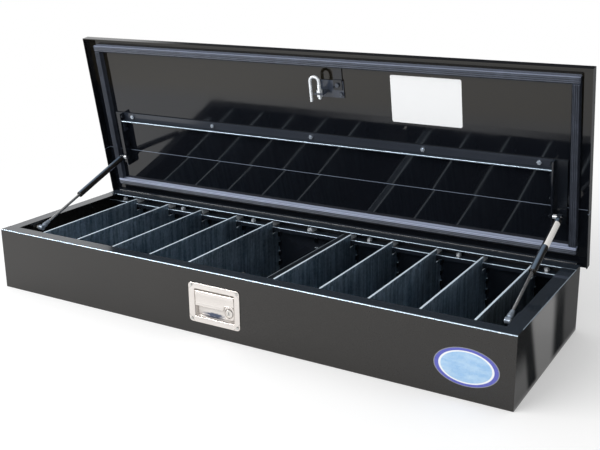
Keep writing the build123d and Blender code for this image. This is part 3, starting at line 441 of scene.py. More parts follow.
@dataclass(frozen=True)
class GlossCoat(Finish):
    """Black baked coat: fine mottling, orange peel, a little dust, a painted sheen on faces that look up, and
    painted highlights on bends.

    Attributes:
        dark: Colour of the coat.
        light: Colour at the top of the mottling.
        film: Colour of the painted sheen on faces that look up, standing in for the sky's reflection.
        dirt: Colour of the dust.
        glint: Colour of the painted highlight on bends, part metal.
        shine: Share of the glint that shows.
        gloss: Roughness where the coat is smoothest.
        peel: Height of the orange peel, in metres.
        dust: Share of pale dust on faces that look up.
        lean: The piece's forward lean, in radians.
    """

    slot: Slot = Slot.COAT
    dark: Colour = (0.0105, 0.0096, 0.0088)
    light: Colour = (0.021, 0.0190, 0.0168)
    film: Colour = (0.022, 0.032, 0.046)
    dirt: Colour = (0.30, 0.29, 0.27)
    glint: Colour = (0.66, 0.80, 0.94)
    shine: float = 1.0
    gloss: float = 0.12
    peel: float = 0.000012
    dust: float = 0.03
    lean: float = 0.0

    def relief(self, graph: Graph) -> Socket:
        """The orange peel."""
        return graph.bump(graph.texture(260.0, 1.0), self.peel)

    def lined(self, graph: Graph, coat: Paint) -> Paint:
        """The coat as it is, with no lines."""
        return coat

    def write(self, graph: Graph) -> None:
        """Mottled near-black under gloss; faces that look along no axis are bends and get a painted
        highlight, and faces that look up get a painted sheen.

        Args:
            graph: Where the nodes go.
        """
        mottle = graph.texture(900.0, 2.0, 0.6)
        cloud = graph.texture(7.0, 3.0, 0.55)
        speck = graph.texture(1500.0, 1.0).step(0.62, 0.78) * cloud.step(0.35, 0.75)
        across, back, up = graph.facing(self.lean)
        flat = abs(across).either(abs(back)).either(abs(up)).step(0.90, 0.985)
        # Painted highlight: the glint colour, part metal, on bends.
        bend = (1.0 - flat) * self.shine
        level = up.step(0.7, 1.0)
        plain = graph.mix(self.dark, self.light, mottle.step(0.35, 0.65) * 0.6 + cloud * 0.4)
        # Painted sheen: the film colour on faces that look up.
        coat = graph.mix(plain, self.film, level * (0.5 + 0.5 * cloud))
        dusted = graph.mix(coat, self.dirt, level * (speck * 0.5 + cloud * 0.25) * self.dust)
        graph.surface(
            IOR=1.5,
            Base_Color=self.lined(graph, graph.mix(dusted, self.glint, bend)),
            Roughness=self.gloss + 0.05 * cloud.step(0.3, 0.8) + 0.04 * mottle + 0.12 * bend,
            Metallic=bend * 0.6,
            Normal=self.relief(graph),
        )


@dataclass(frozen=True)
class MirrorCoat(GlossCoat):
    """The lid's wet-look coat, on a skin that is drawn a little out of flat.

    Attributes:
        outer_tilt: Slope of the skin outside its crease.
        inner_tilt: Slope of the skin behind it.
        side_tilt: Slope of the skin along the box.
        swell: Height of its soft waves, in metres.
        warm: Colour of a painted warm reflection tint towards the lid's front.
        warm_from: Where that colour starts and is full, from the hinge line.
        thin: Colour of the painted highlight along the crease.
    """

    outer_tilt: float = 0.044
    inner_tilt: float = 0.033
    side_tilt: float = 0.012
    swell: float = 0.0003
    warm: Colour = (0.0105, 0.0088, 0.0058)
    warm_from: Pair = (0.32, 0.39)
    thin: Colour = (0.20, 0.24, 0.31)

    def relief(self, graph: Graph) -> Socket:
        """Height = tilt (reach - crease), with a tilt for each side of the crease, + side tilt x + waves.

        Args:
            graph: Where the nodes go.

        Returns:
            The bumped normal.
        """
        along, reach = graph.lid_place(self.lean)
        beyond = reach - LID.crease
        outer = beyond.either(0.0) * self.outer_tilt
        inner = (0.0 - beyond).either(0.0) * -self.inner_tilt
        return graph.bump(outer + inner + along * self.side_tilt + graph.texture(5.0, 1.0) * self.swell, 1.0)

    def lined(self, graph: Graph, coat: Paint) -> Paint:
        """A painted warm reflection tint towards the lid's front, and a painted highlight line along the
        crease.

        Args:
            graph: Where the nodes go.
            coat: The coat's colour.

        Returns:
            The coat with both.
        """
        _, reach = graph.lid_place(self.lean)
        skin = abs(graph.facing(self.lean)[1]).step(0.80, 0.95)
        # Painted reflection: a warmer tint towards the lid's front.
        warmed = graph.mix(coat, self.warm, reach.step(*self.warm_from) * skin)
        # Painted highlight: a pale line along the crease.
        return graph.mix(warmed, self.thin, 1.0 - abs(reach - LID.crease).step(0.0004, 0.0012))


@dataclass(frozen=True)
class Galvanised(Finish):
    """Hot dipped steel sheet: crystals, faint vertical run marks, a soft metal shine, and a painted highlight
    on faces that look up.

    Attributes:
        dark: Colour of the darkest crystals.
        light: Colour of the lightest crystals.
        edge: Colour of the painted highlight on faces that look up.
        grip: Share of the metal shine that it loses there.
        metal: Metal shine elsewhere.
        gloss: Roughness of the brightest crystals.
    """

    slot: Slot = Slot.GALVANISED
    dark: Colour = (0.16, 0.26, 0.36)
    light: Colour = (0.66, 0.80, 0.92)
    edge: Colour = (0.76, 0.89, 1.00)
    grip: float = 0.95
    metal: float = 1.0
    gloss: float = 0.34

    def painted_light_mask(self, graph: Graph) -> Channel:
        """Where the highlight is painted: on faces that look up."""
        return graph.facing()[2].step(0.35, 0.75)

    def tinted(self, graph: Graph, sheet: Paint) -> Paint:
        """The sheet as it is."""
        return sheet

    def write(self, graph: Graph) -> None:
        """Cells of random brightness under streaks that run down the plate.

        Args:
            graph: Where the nodes go.
        """
        crystal = graph.texture(150.0, kind=Noise.CELLS)
        fine = graph.texture(420.0, kind=Noise.CELLS)
        streak = graph.texture(95.0, 3.0, 0.6, graph.place(scale=(1.0, 1.0, 0.06)))
        haze = graph.texture(11.0)
        bright = crystal * 0.30 + fine * 0.15 + streak.step(0.35, 0.65) * 0.55
        sheet = self.tinted(graph, graph.mix(self.dark, self.light, bright))
        # Painted highlight: faces that look up turn pale and lose most of their metal shine.
        painted_light_mask = self.painted_light_mask(graph)
        graph.surface(
            Base_Color=graph.mix(sheet, self.edge, painted_light_mask),
            Roughness=self.gloss + 0.10 * crystal + 0.12 * haze.step(0.35, 0.7) + 0.05 * streak,
            Metallic=self.metal * (1.0 - self.grip * painted_light_mask),
            Normal=graph.bump(crystal * 0.5 + streak * 0.5, 0.00003),
        )


@dataclass(frozen=True)
class FlangedZinc(Galvanised):
    """Galvanised sheet of the plate with a wide top: painted highlights along its edges and its front end,
    and painted shade on the rest of its top.

    Attributes:
        low: Where the top starts across the box, in metres.
        hem: Where its hemmed side starts.
        front: Where its front end starts, towards the back of the box.
        shaded: Colour of the painted shade on the rest of its top.
    """

    low: float = 0.0
    hem: float = 0.0
    front: float = 0.0
    shaded: Colour = (0.055, 0.070, 0.090)

    def painted_light_mask(self, graph: Graph) -> Channel:
        """Painted highlights: faces that look up, along the hem, along a thin line at the far side, and on
        the front end.

        Args:
            graph: Where the nodes go.

        Returns:
            The mask.
        """
        across, back, _ = graph.parts(graph.here)
        # Painted highlight lines along the hem and the far side, and on the front end.
        line = across.step(self.hem - 0.0002, self.hem + 0.0002)
        rim = (1.0 - across.step(self.low + 0.0010, self.low + 0.0018)) * 0.6
        end = (1.0 - back.step(self.front - 0.012, self.front + 0.010)) * 0.7
        return super().painted_light_mask(graph) * line.either(rim).either(end)

    def tinted(self, graph: Graph, sheet: Paint) -> Paint:
        """Painted shade: darker on faces that look up."""
        return graph.mix(sheet, self.shaded, super().painted_light_mask(graph))


@dataclass(frozen=True)
class BrushedSteel(Finish):
    """Stainless sheet, brushed along its length and then buffed.

    Attributes:
        dark: Colour in the brush lines.
        light: Colour of the buffed metal.
        gloss: Roughness of the buffed metal.
        lines: Brush lines per metre.
    """

    slot: Slot = Slot.STAINLESS
    dark: Colour = (0.70, 0.655, 0.62)
    light: Colour = (0.86, 0.82, 0.785)
    gloss: float = 0.13
    lines: float = 1500.0

    def marked(self, graph: Graph, metal: Paint) -> Paint:
        """The metal as it is, with no marks."""
        return metal

    def shine(self, graph: Graph) -> Term:
        """Full metal shine all over."""
        return 1.0

    def write(self, graph: Graph) -> None:
        """Lines much longer than they are high, and soft pressing waves.

        Args:
            graph: Where the nodes go.
        """
        line = graph.texture(self.lines, 2.0, 0.7, graph.place(scale=(0.02, 1.0, 1.0)))
        wave = graph.texture(26.0)
        scuff = graph.texture(240.0, 3.0, 0.7).step(0.56, 0.72)
        graph.surface(
            Base_Color=self.marked(graph, graph.mix(self.dark, self.light, line * 0.55 + wave * 0.45)),
            Roughness=self.gloss + 0.10 * line + 0.08 * scuff,
            Metallic=self.shine(graph),
            Normal=graph.bump(line * 0.25 + wave * 0.75, 0.00022),
        )


@dataclass(frozen=True)
class PanSteel(BrushedSteel):
    """The latch pan's steel, with a painted dark blue reflection streak low in the hand pocket and painted
    shade lines along the creases at its corners.

    Attributes:
        centre: Middle of the pan's front, in metres.
        streak: Middle of the streak, in metres.
        streak_half: Half its width and height.
        painted_dark_streak: Colour of the painted dark reflection streak.
        crease: Distances of the creases from the middle, across and up.
        dull: Colour of the painted shade along the creases.
    """

    centre: Point = (0.0, 0.0, 0.0)
    streak: Point = (0.0, 0.0, 0.0)
    streak_half: Pair = (0.046, 0.0080)
    painted_dark_streak: Colour = (0.075, 0.095, 0.15)
    crease: Pair = (0.0675, 0.0435)
    dull: Colour = (0.28, 0.27, 0.26)

    def marked(self, graph: Graph, metal: Paint) -> Paint:
        """The painted reflection streak where a stretched distance is under 1, and a thin line of painted
        shade across each corner.

        Args:
            graph: Where the nodes go.
            metal: The metal's colour.

        Returns:
            The metal with its painted streak and crease shade.
        """
        # Painted dark reflection: a blue streak low in the pocket.
        across, back, up = graph.parts(graph.place(self.streak))
        ragged = graph.texture(110.0, where=graph.place(scale=(1.0, 1.0, 2.5))) * 0.9
        stretched = ((across / self.streak_half[0]) ** 2.0 + (up / self.streak_half[1]) ** 2.0) ** 0.5
        streak = (1.0 - (stretched + ragged).step(0.75, 1.45)) * back.step(-0.012, -0.008)
        # Painted shade: a thin dull line along each corner crease.
        wide, _, high = graph.parts(graph.place(self.centre))
        line = abs(abs(wide) - self.crease[0] + abs(high) - self.crease[1])
        crease = (1.0 - line.step(0.0003, 0.0011)) * (1.0 - back.step(-0.012, -0.010)) * 0.7
        return graph.mix(graph.mix(metal, self.painted_dark_streak, streak), self.dull, crease)

    def shine(self, graph: Graph) -> Term:
        """Satin inside the pocket, where the press tool has dulled the metal."""
        _, back, _ = graph.parts(graph.place(self.streak))
        return 1.0 - 0.6 * back.step(-0.016, -0.013)


@dataclass(frozen=True)
class PlatedSteel(Finish):
    """Bright plated hardware.

    Attributes:
        tone: Colour of the plating.
        dull: Colour where it has dulled.
        metal: Metal shine; less on plating gone chalky.
        gloss: Roughness of the bright plating.
        cloudy: Size of the dulled patches, per metre.
    """

    slot: Slot = Slot.ZINC
    tone: Colour = (0.86, 0.90, 0.94)
    dull: Colour = (0.58, 0.60, 0.62)
    metal: float = 1.0
    gloss: float = 0.20
    cloudy: float = 130.0

    def marked(self, graph: Graph, metal: Paint) -> Paint:
        """The plating as it is, with no marks."""
        return metal

    def write(self, graph: Graph) -> None:
        """Bright metal with small dulled patches and fine handling marks.

        Args:
            graph: Where the nodes go.
        """
        patch = graph.texture(self.cloudy, 3.0, 0.6).step(0.45, 0.75)
        mark = graph.texture(1400.0, 2.0, 0.6)
        graph.surface(
            Base_Color=self.marked(graph, graph.mix(self.tone, self.dull, patch * 0.7)),
            Roughness=self.gloss + 0.16 * patch + 0.06 * mark,
            Metallic=self.metal,
            Normal=graph.bump(mark, 0.00001),
        )


@dataclass(frozen=True)
class StrikerZinc(PlatedSteel):
    """Plating of the striker's nuts, blackened on the pair that holds its bracket.

    Attributes:
        start: Where the blackened pair starts along the box, in metres.
        black: Colour of the blackened plating.
    """

    start: float = 0.080
    black: Colour = (0.070, 0.080, 0.100)

    def marked(self, graph: Graph, metal: Paint) -> Paint:
        """Dark beyond the start."""
        return graph.mix(metal, self.black, graph.parts(graph.here)[0].step(self.start, self.start + 0.002))


@dataclass(frozen=True)
class Rubber(Finish):
    """Extruded rubber with a faint bloom, and painted highlights on faces that look out along the lid and on
    two bands.

    Attributes:
        dark: Colour of clean rubber.
        bloom_and_sheen: Colour of the bloom, and of the painted highlight on faces that look out along the
            lid.
        gloss: Roughness of clean rubber.
        lean: The piece's forward lean, in radians.
        pale: Colour of the painted highlight bands.
        highlight_band: Start and end of one painted highlight band from the hinge line, in metres.
        outer: Start of a second one, on the front seal.
        blur: Half the width of the bands' soft edges.
    """

    slot: Slot = Slot.RUBBER
    dark: Colour = (0.030, 0.036, 0.050)
    bloom_and_sheen: Colour = (0.11, 0.13, 0.18)
    gloss: float = 0.38
    lean: float = 0.0
    pale: Colour = (0.38, 0.43, 0.57)
    highlight_band: Pair = (0.0365, 0.0445)
    outer: float = 0.4845
    blur: float = 0.001

    def write(self, graph: Graph) -> None:
        """Dark rubber with extrusion grain and bloom, with a painted highlight where it looks out along the
        lid and on two bands.

        Args:
            graph: Where the nodes go.
        """
        patch = graph.texture(45.0, 4.0, 0.6)
        grain = graph.texture(1800.0, 2.0, 0.6)
        # Painted highlight: paler where the rubber looks out along the lid.
        out = graph.facing(self.lean)[2].step(0.02, 0.75)
        base = graph.mix(self.dark, self.bloom_and_sheen, patch.step(0.42, 0.75) * 0.25 + grain * 0.12 + out * 0.40)
        _, reach = graph.lid_place(self.lean)
        # Painted highlight: two pale bands along the strips.
        highlight_bands = reach.inside(*self.highlight_band, self.blur)
        highlight_bands = highlight_bands + reach.step(self.outer - self.blur, self.outer + self.blur) * 0.5
        graph.surface(
            IOR=1.5,
            Base_Color=graph.mix(base, self.pale, highlight_bands * (0.75 + 0.25 * out)),
            Roughness=self.gloss + 0.14 * patch,
            Normal=graph.bump(grain, 0.00003),
        )


@dataclass(frozen=True)
class Label(Finish):
    """Blank film label with a fine tooth.

    Attributes:
        tone: Colour of the film.
        shade: Colour in its tooth.
        gloss: Roughness of the film.
    """

    slot: Slot = Slot.LABEL
    tone: Colour = (0.93, 0.94, 0.95)
    shade: Colour = (0.86, 0.87, 0.88)
    gloss: float = 0.34

    def write(self, graph: Graph) -> None:
        """Nearly even white with a faint tooth and a soft wave.

        Args:
            graph: Where the nodes go.
        """
        tooth = graph.texture(1300.0, 3.0, 0.6)
        wave = graph.texture(22.0)
        graph.surface(
            IOR=1.46,
            Base_Color=graph.mix(self.tone, self.shade, tooth.step(0.5, 0.8) * 0.6 + wave * 0.25),
            Roughness=self.gloss + 0.08 * tooth,
            Normal=graph.bump(tooth * 0.2 + wave * 0.8, 0.0001),
        )


@dataclass(frozen=True)
class Wrap(Finish):
    """Wrapped strut label, white on one side and black on the other. No lettering.

    Attributes:
        start: Where the white starts along the box, in metres.
        tone: Colour of the white side.
        back: Colour of the black side.
        blur: Half the width of the change.
    """

    slot: Slot = Slot.LABEL
    start: float = 0.0
    tone: Colour = (0.90, 0.88, 0.85)
    back: Colour = (0.008, 0.009, 0.012)
    blur: float = 0.0003

    def write(self, graph: Graph) -> None:
        """Black until the start, then white.

        Args:
            graph: Where the nodes go.
        """
        white = graph.parts(graph.here)[0].step(self.start - self.blur, self.start + self.blur)
        colour = graph.mix(self.back, self.tone, white)
        graph.surface(IOR=1.46, Base_Color=colour, Roughness=0.08 + 0.26 * white)


@dataclass(frozen=True)
class BadgeResin(Finish):
    """Oval badge: a blue band round a pale field, under clear resin. No lettering.

    Attributes:
        centre: Middle of the oval, in metres.
        half: Half its width and height, in metres.
        field: Colour of the field.
        haze: Colour of the pale drifts over the field.
        line: Colour of the line round the field.
        band: Colour of the band.
        edge: Colour of the thin edge round the band.
    """

    slot: Slot = Slot.BADGE
    centre: Point = (0.0, 0.0, 0.0)
    half: Pair = (1.0, 1.0)
    field: Colour = (0.28, 0.50, 0.78)
    haze: Colour = (0.58, 0.76, 0.90)
    line: Colour = (0.86, 0.88, 0.90)
    band: Colour = (0.070, 0.080, 0.46)
    edge: Colour = (0.22, 0.23, 0.27)

    def write(self, graph: Graph) -> None:
        """Rings from the distance to the middle, in shares of the oval's half sizes.

        Args:
            graph: Where the nodes go.
        """
        across, _, up = graph.parts(graph.place(self.centre, (1.0 / self.half[0], 0.0, 1.0 / self.half[1])))
        ring = (across * across + up * up) ** 0.5
        drift = graph.texture(34.0, 3.0, 0.6, graph.place(scale=(1.0, 1.0, 2.4), turn=(0.0, 0.3, 0.0)))
        in_band = ring.step(0.84, 0.855)
        pale = graph.mix(self.field, self.haze, drift.step(0.30, 0.80) * 0.6)
        lined = graph.mix(pale, self.line, ring.step(0.77, 0.79) - in_band)
        graph.surface(
            IOR=1.5,
            Coat_Weight=1.0,
            Coat_Roughness=0.04,
            Base_Color=graph.mix(graph.mix(lined, self.band, in_band), self.edge, ring.step(0.965, 0.975)),
            Roughness=0.22 + 0.1 * graph.texture(60.0, 3.0),
        )


@dataclass(frozen=True)
class KeyFace(Finish):
    """Turned lock face with a key slot painted dark as its shade.

    Attributes:
        centre: Middle of the face, in metres.
        slot_half: Half the key slot's width and height, in metres.
        rings: Turning rings, in radians per metre.
        dark: Colour in the rings.
        light: Colour between them.
        hole: Colour of the key slot, painted dark as the shade inside it.
    """

    slot: Slot = Slot.ZINC
    centre: Point = (0.0, 0.0, 0.0)
    slot_half: Pair = (0.0009, 0.0042)
    rings: float = 9000.0
    dark: Colour = (0.62, 0.60, 0.57)
    light: Colour = (0.80, 0.78, 0.75)
    hole: Colour = (0.01, 0.01, 0.01)

    def write(self, graph: Graph) -> None:
        """Rings turned round the middle, and a slot painted dark as its shade where both distances are small.

        Args:
            graph: Where the nodes go.
        """
        across, _, up = graph.parts(graph.place(self.centre))
        turned = ((across * across + up * up) ** 0.5 * self.rings).wave() * 0.5 + 0.5
        outside = (abs(across) / self.slot_half[0]).either(abs(up) / self.slot_half[1]).step(0.96, 1.06)
        graph.surface(
            Base_Color=graph.mix(self.hole, graph.mix(self.dark, self.light, turned), outside),
            Roughness=0.30 - 0.1 * outside,
            Metallic=outside,
            Normal=graph.bump(turned * 0.1 + outside, 0.0003),
        )


# Painted shade: a darker, bluer copy of the black coat, for the inside of the box, the hinge, the tube
# sockets and the parts under the lid.
PAINTED_SHADE_TONES = {"dark": (0.006, 0.0075, 0.011), "light": (0.012, 0.015, 0.021)}
BOX_COAT = GlossCoat("box_coat")
END_COAT = GlossCoat("end_coat", gloss=0.03)
INNER_COAT = GlossCoat("inner_coat", gloss=0.22, **PAINTED_SHADE_TONES)
PLAIN_COAT = GlossCoat("plain_coat", shine=0.0, gloss=0.16, dust=0.0, **PAINTED_SHADE_TONES)
BRACKET_COAT = GlossCoat("bracket_coat", dust=0.0, lean=LID.lean, **PAINTED_SHADE_TONES)
HARDWARE_COAT = GlossCoat("hardware_coat", gloss=0.16, dust=0.0)
# Painted reflection: lighter, bluer copies of the black coat for the tie bar and the striker bracket.
BAR_COAT = GlossCoat(
    "lid_hardware_coat", dark=(0.016, 0.020, 0.030), light=(0.030, 0.037, 0.050), dust=0.0, lean=LID.lean
)
STRIKER_COAT = GlossCoat(
    "striker_coat", dark=(0.030, 0.038, 0.055), light=(0.050, 0.060, 0.085), dust=0.0, lean=LID.lean
)
LID_COAT = MirrorCoat(
    "lid_coat", dark=(0.0030, 0.0042, 0.0070), light=(0.0085, 0.0095, 0.0125), film=(0.004, 0.005, 0.008),
    gloss=0.02, dust=0.0, lean=LID.lean,
)
# Its film is a painted highlight along the tops of the tubes.
TUBE_LACQUER = GlossCoat(
    "tube_lacquer", Slot.LACQUER, film=(0.16, 0.22, 0.30), shine=0.0, gloss=0.05, peel=0.000003, dust=0.0
)
ZINC_SHEET = Galvanised("zinc_sheet")
# Painted shade: a near-black copy of the galvanised sheet, for the guides.
GUIDE_ZINC_PAINTED_SHADE = Galvanised("guide_zinc_painted_shade", dark=(0.012, 0.016, 0.022), light=(0.03, 0.04, 0.05), grip=0.9)
# Painted highlight: the gussets near white and without metal shine.
GUSSET_PAINTED_HIGHLIGHT = Galvanised("gusset_painted_highlight", dark=(0.75, 0.80, 0.86), light=(0.92, 0.95, 0.98), metal=0.0)
LATCH_STEEL = BrushedSteel("latch_steel")
BRIGHT_ZINC = PlatedSteel("bright_zinc", metal=0.55)
DULL_ZINC = PlatedSteel("dull_zinc", tone=(0.62, 0.62, 0.60), dull=(0.42, 0.42, 0.40), gloss=0.30)
FITTING = PlatedSteel("strut_fitting", tone=(0.36, 0.42, 0.50), dull=(0.20, 0.24, 0.30), metal=0.5)
BAR_ZINC = PlatedSteel("bar_zinc", tone=(0.52, 0.58, 0.66), dull=(0.30, 0.34, 0.40), metal=0.8)
BLACK_ZINC = PlatedSteel(
    "black_zinc", tone=(0.050, 0.058, 0.075), dull=(0.020, 0.024, 0.032), metal=0.8, gloss=0.10
)
NUT_ZINC = StrikerZinc("nut_zinc", metal=0.6)
CHROME = PlatedSteel("chrome", Slot.CHROME, tone=(0.86, 0.87, 0.88), dull=(0.78, 0.79, 0.80), gloss=0.06)
SEAL = Rubber("seal_rubber_strip", lean=LID.lean)
GASKET = Rubber("gasket_rubber", bloom_and_sheen=(0.03, 0.03, 0.032), gloss=0.55)
LABEL = Label("blank_label")


# ------------------------------------------------------------------ surfaces and pieces


def grid_faces(rows: int, columns: int, close_rows: bool = False) -> Faces:
    """The quads of a grid of points whose last column joins the first.

    Args:
        rows: Points along the first parameter.
        columns: Points along the second.
        close_rows: Whether the last row joins the first too.

    Returns:
        Four point numbers for each quad.
    """
    row = np.arange(rows if close_rows else rows - 1)[:, None]
    column = np.arange(columns)[None, :]
    low, high = row * columns, (row + 1) % rows * columns
    after = (column + 1) % columns
    return np.stack([low + column, low + after, high + after, high + column], axis=-1).reshape(-1, 4).tolist()


def capped_faces(rows: int, columns: int) -> Faces:
    """The quads of a tube of points, with a face over each end."""
    start, end = range(columns), range((rows - 1) * columns, rows * columns)
    return grid_faces(rows, columns) + [list(start)[::-1], list(end)]


def make_outward(mesh: bpy.types.Mesh) -> None:
    """Turns a closed mesh's faces outwards if its volume comes out negative.

    Args:
        mesh: The mesh.
    """
    mesh.calc_loop_triangles()
    points = np.empty(len(mesh.vertices) * 3)
    mesh.vertices.foreach_get("co", points)
    corners = np.empty(len(mesh.loop_triangles) * 3, dtype=np.int32)
    mesh.loop_triangles.foreach_get("vertices", corners)
    points = points.reshape(-1, 3)
    a, b, c = (points[corners.reshape(-1, 3)[:, corner]] - points.mean(axis=0) for corner in range(3))
    if np.einsum("ij,ij->i", a, np.cross(b, c)).sum() < 0:
        mesh.flip_normals()


def mesh_piece(name: str, points: Points, faces: Faces, finish: Finish, body: str, sharp: float) -> Piece:
    """A closed mesh object at the origin from worked-out points, riding on a body.

    Args:
        name: The piece's name.
        points: Its points, in metres.
        faces: Point numbers of each face.
        finish: Its finish.
        body: The body that it moves with.
        sharp: Edges sharper than this stay sharp, in degrees.

    Returns:
        The object.
    """
    mesh = bpy.data.meshes.new(name)
    mesh.from_pydata(points.reshape(-1, 3).tolist(), [], faces)
    mesh.validate()
    mesh.polygons.foreach_set("use_smooth", np.ones(len(mesh.polygons), dtype=bool))
    mesh.set_sharp_from_angle(angle=math.radians(sharp))
    make_outward(mesh)
    mesh.materials.append(finish.material())
    piece = bpy.data.objects.new(name, mesh)
    bpy.context.scene.collection.objects.link(piece)
    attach(piece, body)
    return piece


def dress(finish: Finish, *nodes: str) -> None:
    """Puts a finish on CAD nodes.

    Args:
        finish: The finish.
        *nodes: Their names.
    """
    for name in nodes:
        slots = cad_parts[name].data.materials
        slots.clear()
        slots.append(finish.material())


def spun(start: Points, axis: Points, profile: Points, sides: int) -> Points:
    """A profile spun round an axis: point = start + axis a + radius (cos t across + sin t up).

    Args:
        start: Where the axis starts.
        axis: Its direction.
        profile: Rows of distance along the axis and radius, from one end to the other.
        sides: Points round the axis.

    Returns:
        One ring of points for each row.
    """
    axis = axis / np.linalg.norm(axis)
    across = np.cross(axis, [0.3, 0.1, 0.9])
    across /= np.linalg.norm(across)
    angle = np.linspace(0.0, FULL_TURN, sides, endpoint=False)[None, :, None]
    along, radius = (profile[:, column, None, None] for column in range(2))
    return start + along * axis + radius * (np.cos(angle) * across + np.sin(angle) * np.cross(axis, across))


@dataclass
class BoxShell:
    """The folded box, its ledge and its small hardware."""

    def build(self) -> list[Piece]:
        """Dresses the box's CAD nodes and adds nothing.

        Returns:
            No pieces.
        """
        dress(BOX_COAT, "front_panel")
        dress(END_COAT, "left_end_panel", "right_end_panel")
        dress(INNER_COAT, "floor_panel", "rear_panel", "rear_ledge")
        dress(BRIGHT_ZINC, "ledge_bolts", "box_studs")
        dress(GUIDE_ZINC_PAINTED_SHADE, "divider_guides")
        dress(GUSSET_PAINTED_HIGHLIGHT, "ledge_gussets")
        dress(HARDWARE_COAT, "strut_brackets")
        return []


@dataclass
class DividerSet:
    """Loose plates that stand across the box.

    Attributes:
        count: How many there are.
        flanged: Number of the plate with the wide top.
        hem: Width of a plate's hem, in metres.
        end: Length of the painted highlight at the front end of the wide top.
    """

    count: int = 10
    flanged: int = 6
    hem: float = 0.006
    end: float = 0.040

    def build(self) -> list[Piece]:
        """Dresses the plates and adds nothing.

        Returns:
            No pieces.
        """
        wide = f"divider_{self.flanged}"
        low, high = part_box(wide)
        dress(ZINC_SHEET, *(f"divider_{number}" for number in range(1, self.count + 1)))
        dress(FlangedZinc("flanged_zinc", low=low[0], hem=high[0] - self.hem, front=low[1] + self.end), wide)
        return []


@dataclass
class LidShell:
    """The lid's skin, its brackets, tie bar, striker and blank label."""

    def build(self) -> list[Piece]:
        """Dresses the lid's CAD nodes and adds nothing.

        Returns:
            No pieces.
        """
        dress(LID_COAT, "lid_panel")
        dress(BRACKET_COAT, "left_lid_bracket", "right_lid_bracket", "striker_strap")
        dress(BAR_ZINC, "tie_bar_nuts")
        dress(BLACK_ZINC, "bracket_bolts")
        dress(BAR_COAT, "tie_bar")
        dress(STRIKER_COAT, "striker_bracket")
        dress(BRIGHT_ZINC, "striker_hook")
        dress(NUT_ZINC, "striker_nuts")
        dress(LABEL, "lid_label")
        return []


@dataclass
class Hinge:
    """The piano hinge behind the box."""

    def build(self) -> list[Piece]:
        """Dresses both leaves and the pin, and adds nothing.

        Returns:
            No pieces.
        """
        dress(PLAIN_COAT, "hinge_box_leaf", "hinge_lid_leaf")
        dress(BRIGHT_ZINC, "hinge_pin")
        return []


@dataclass
class StrikerThreads:
    """Rolled threads on the striker's rod, over its smooth CAD core.

    Attributes:
        across: Place of the rod along the box.
        depth: Its depth inside the lid.
        root: Radius at the root of a thread, just over the core's.
        height: Height of a thread.
        pitch: Distance from one thread to the next.
        spans: Start and end of each threaded length from the hinge line.
        sides: Points round the rod.
        steps: Rings of points in one pitch.
    """

    across: float = 0.058
    depth: float = 0.014
    root: float = 0.0046
    height: float = 0.0007
    pitch: float = 0.0020
    spans: tuple[Pair, ...] = ((0.3845, 0.3909), (0.4101, 0.4255))
    sides: int = 28
    steps: int = 8

    def build(self) -> list[Piece]:
        """Each length: radius = root + height (1 - |2 frac(s / pitch - t / 2 pi) - 1|), run out at both ends.

        Returns:
            A piece for each length.
        """
        pieces = []
        for number, (start, end) in enumerate(self.spans, start=1):
            rows = round((end - start) / self.pitch * self.steps) + 1
            run = np.linspace(start, end, rows)[:, None]
            turn = np.linspace(0.0, FULL_TURN, self.sides, endpoint=False)[None, :]
            phase = np.mod((run - start) / self.pitch - turn / FULL_TURN, 1.0)
            fade = np.clip(np.minimum(run - start, end - run) / self.pitch * 2.0, 0.0, 1.0)
            radius = self.root + self.height * (1.0 - np.abs(2.0 * phase - 1.0)) * fade
            points = LID.point(self.across + radius * np.cos(turn), run, self.depth + radius * np.sin(turn))
            faces = capped_faces(rows, self.sides)
            pieces.append(mesh_piece(f"striker_thread_{number}", points, faces, BRIGHT_ZINC, "lid", 35.0))
        return pieces


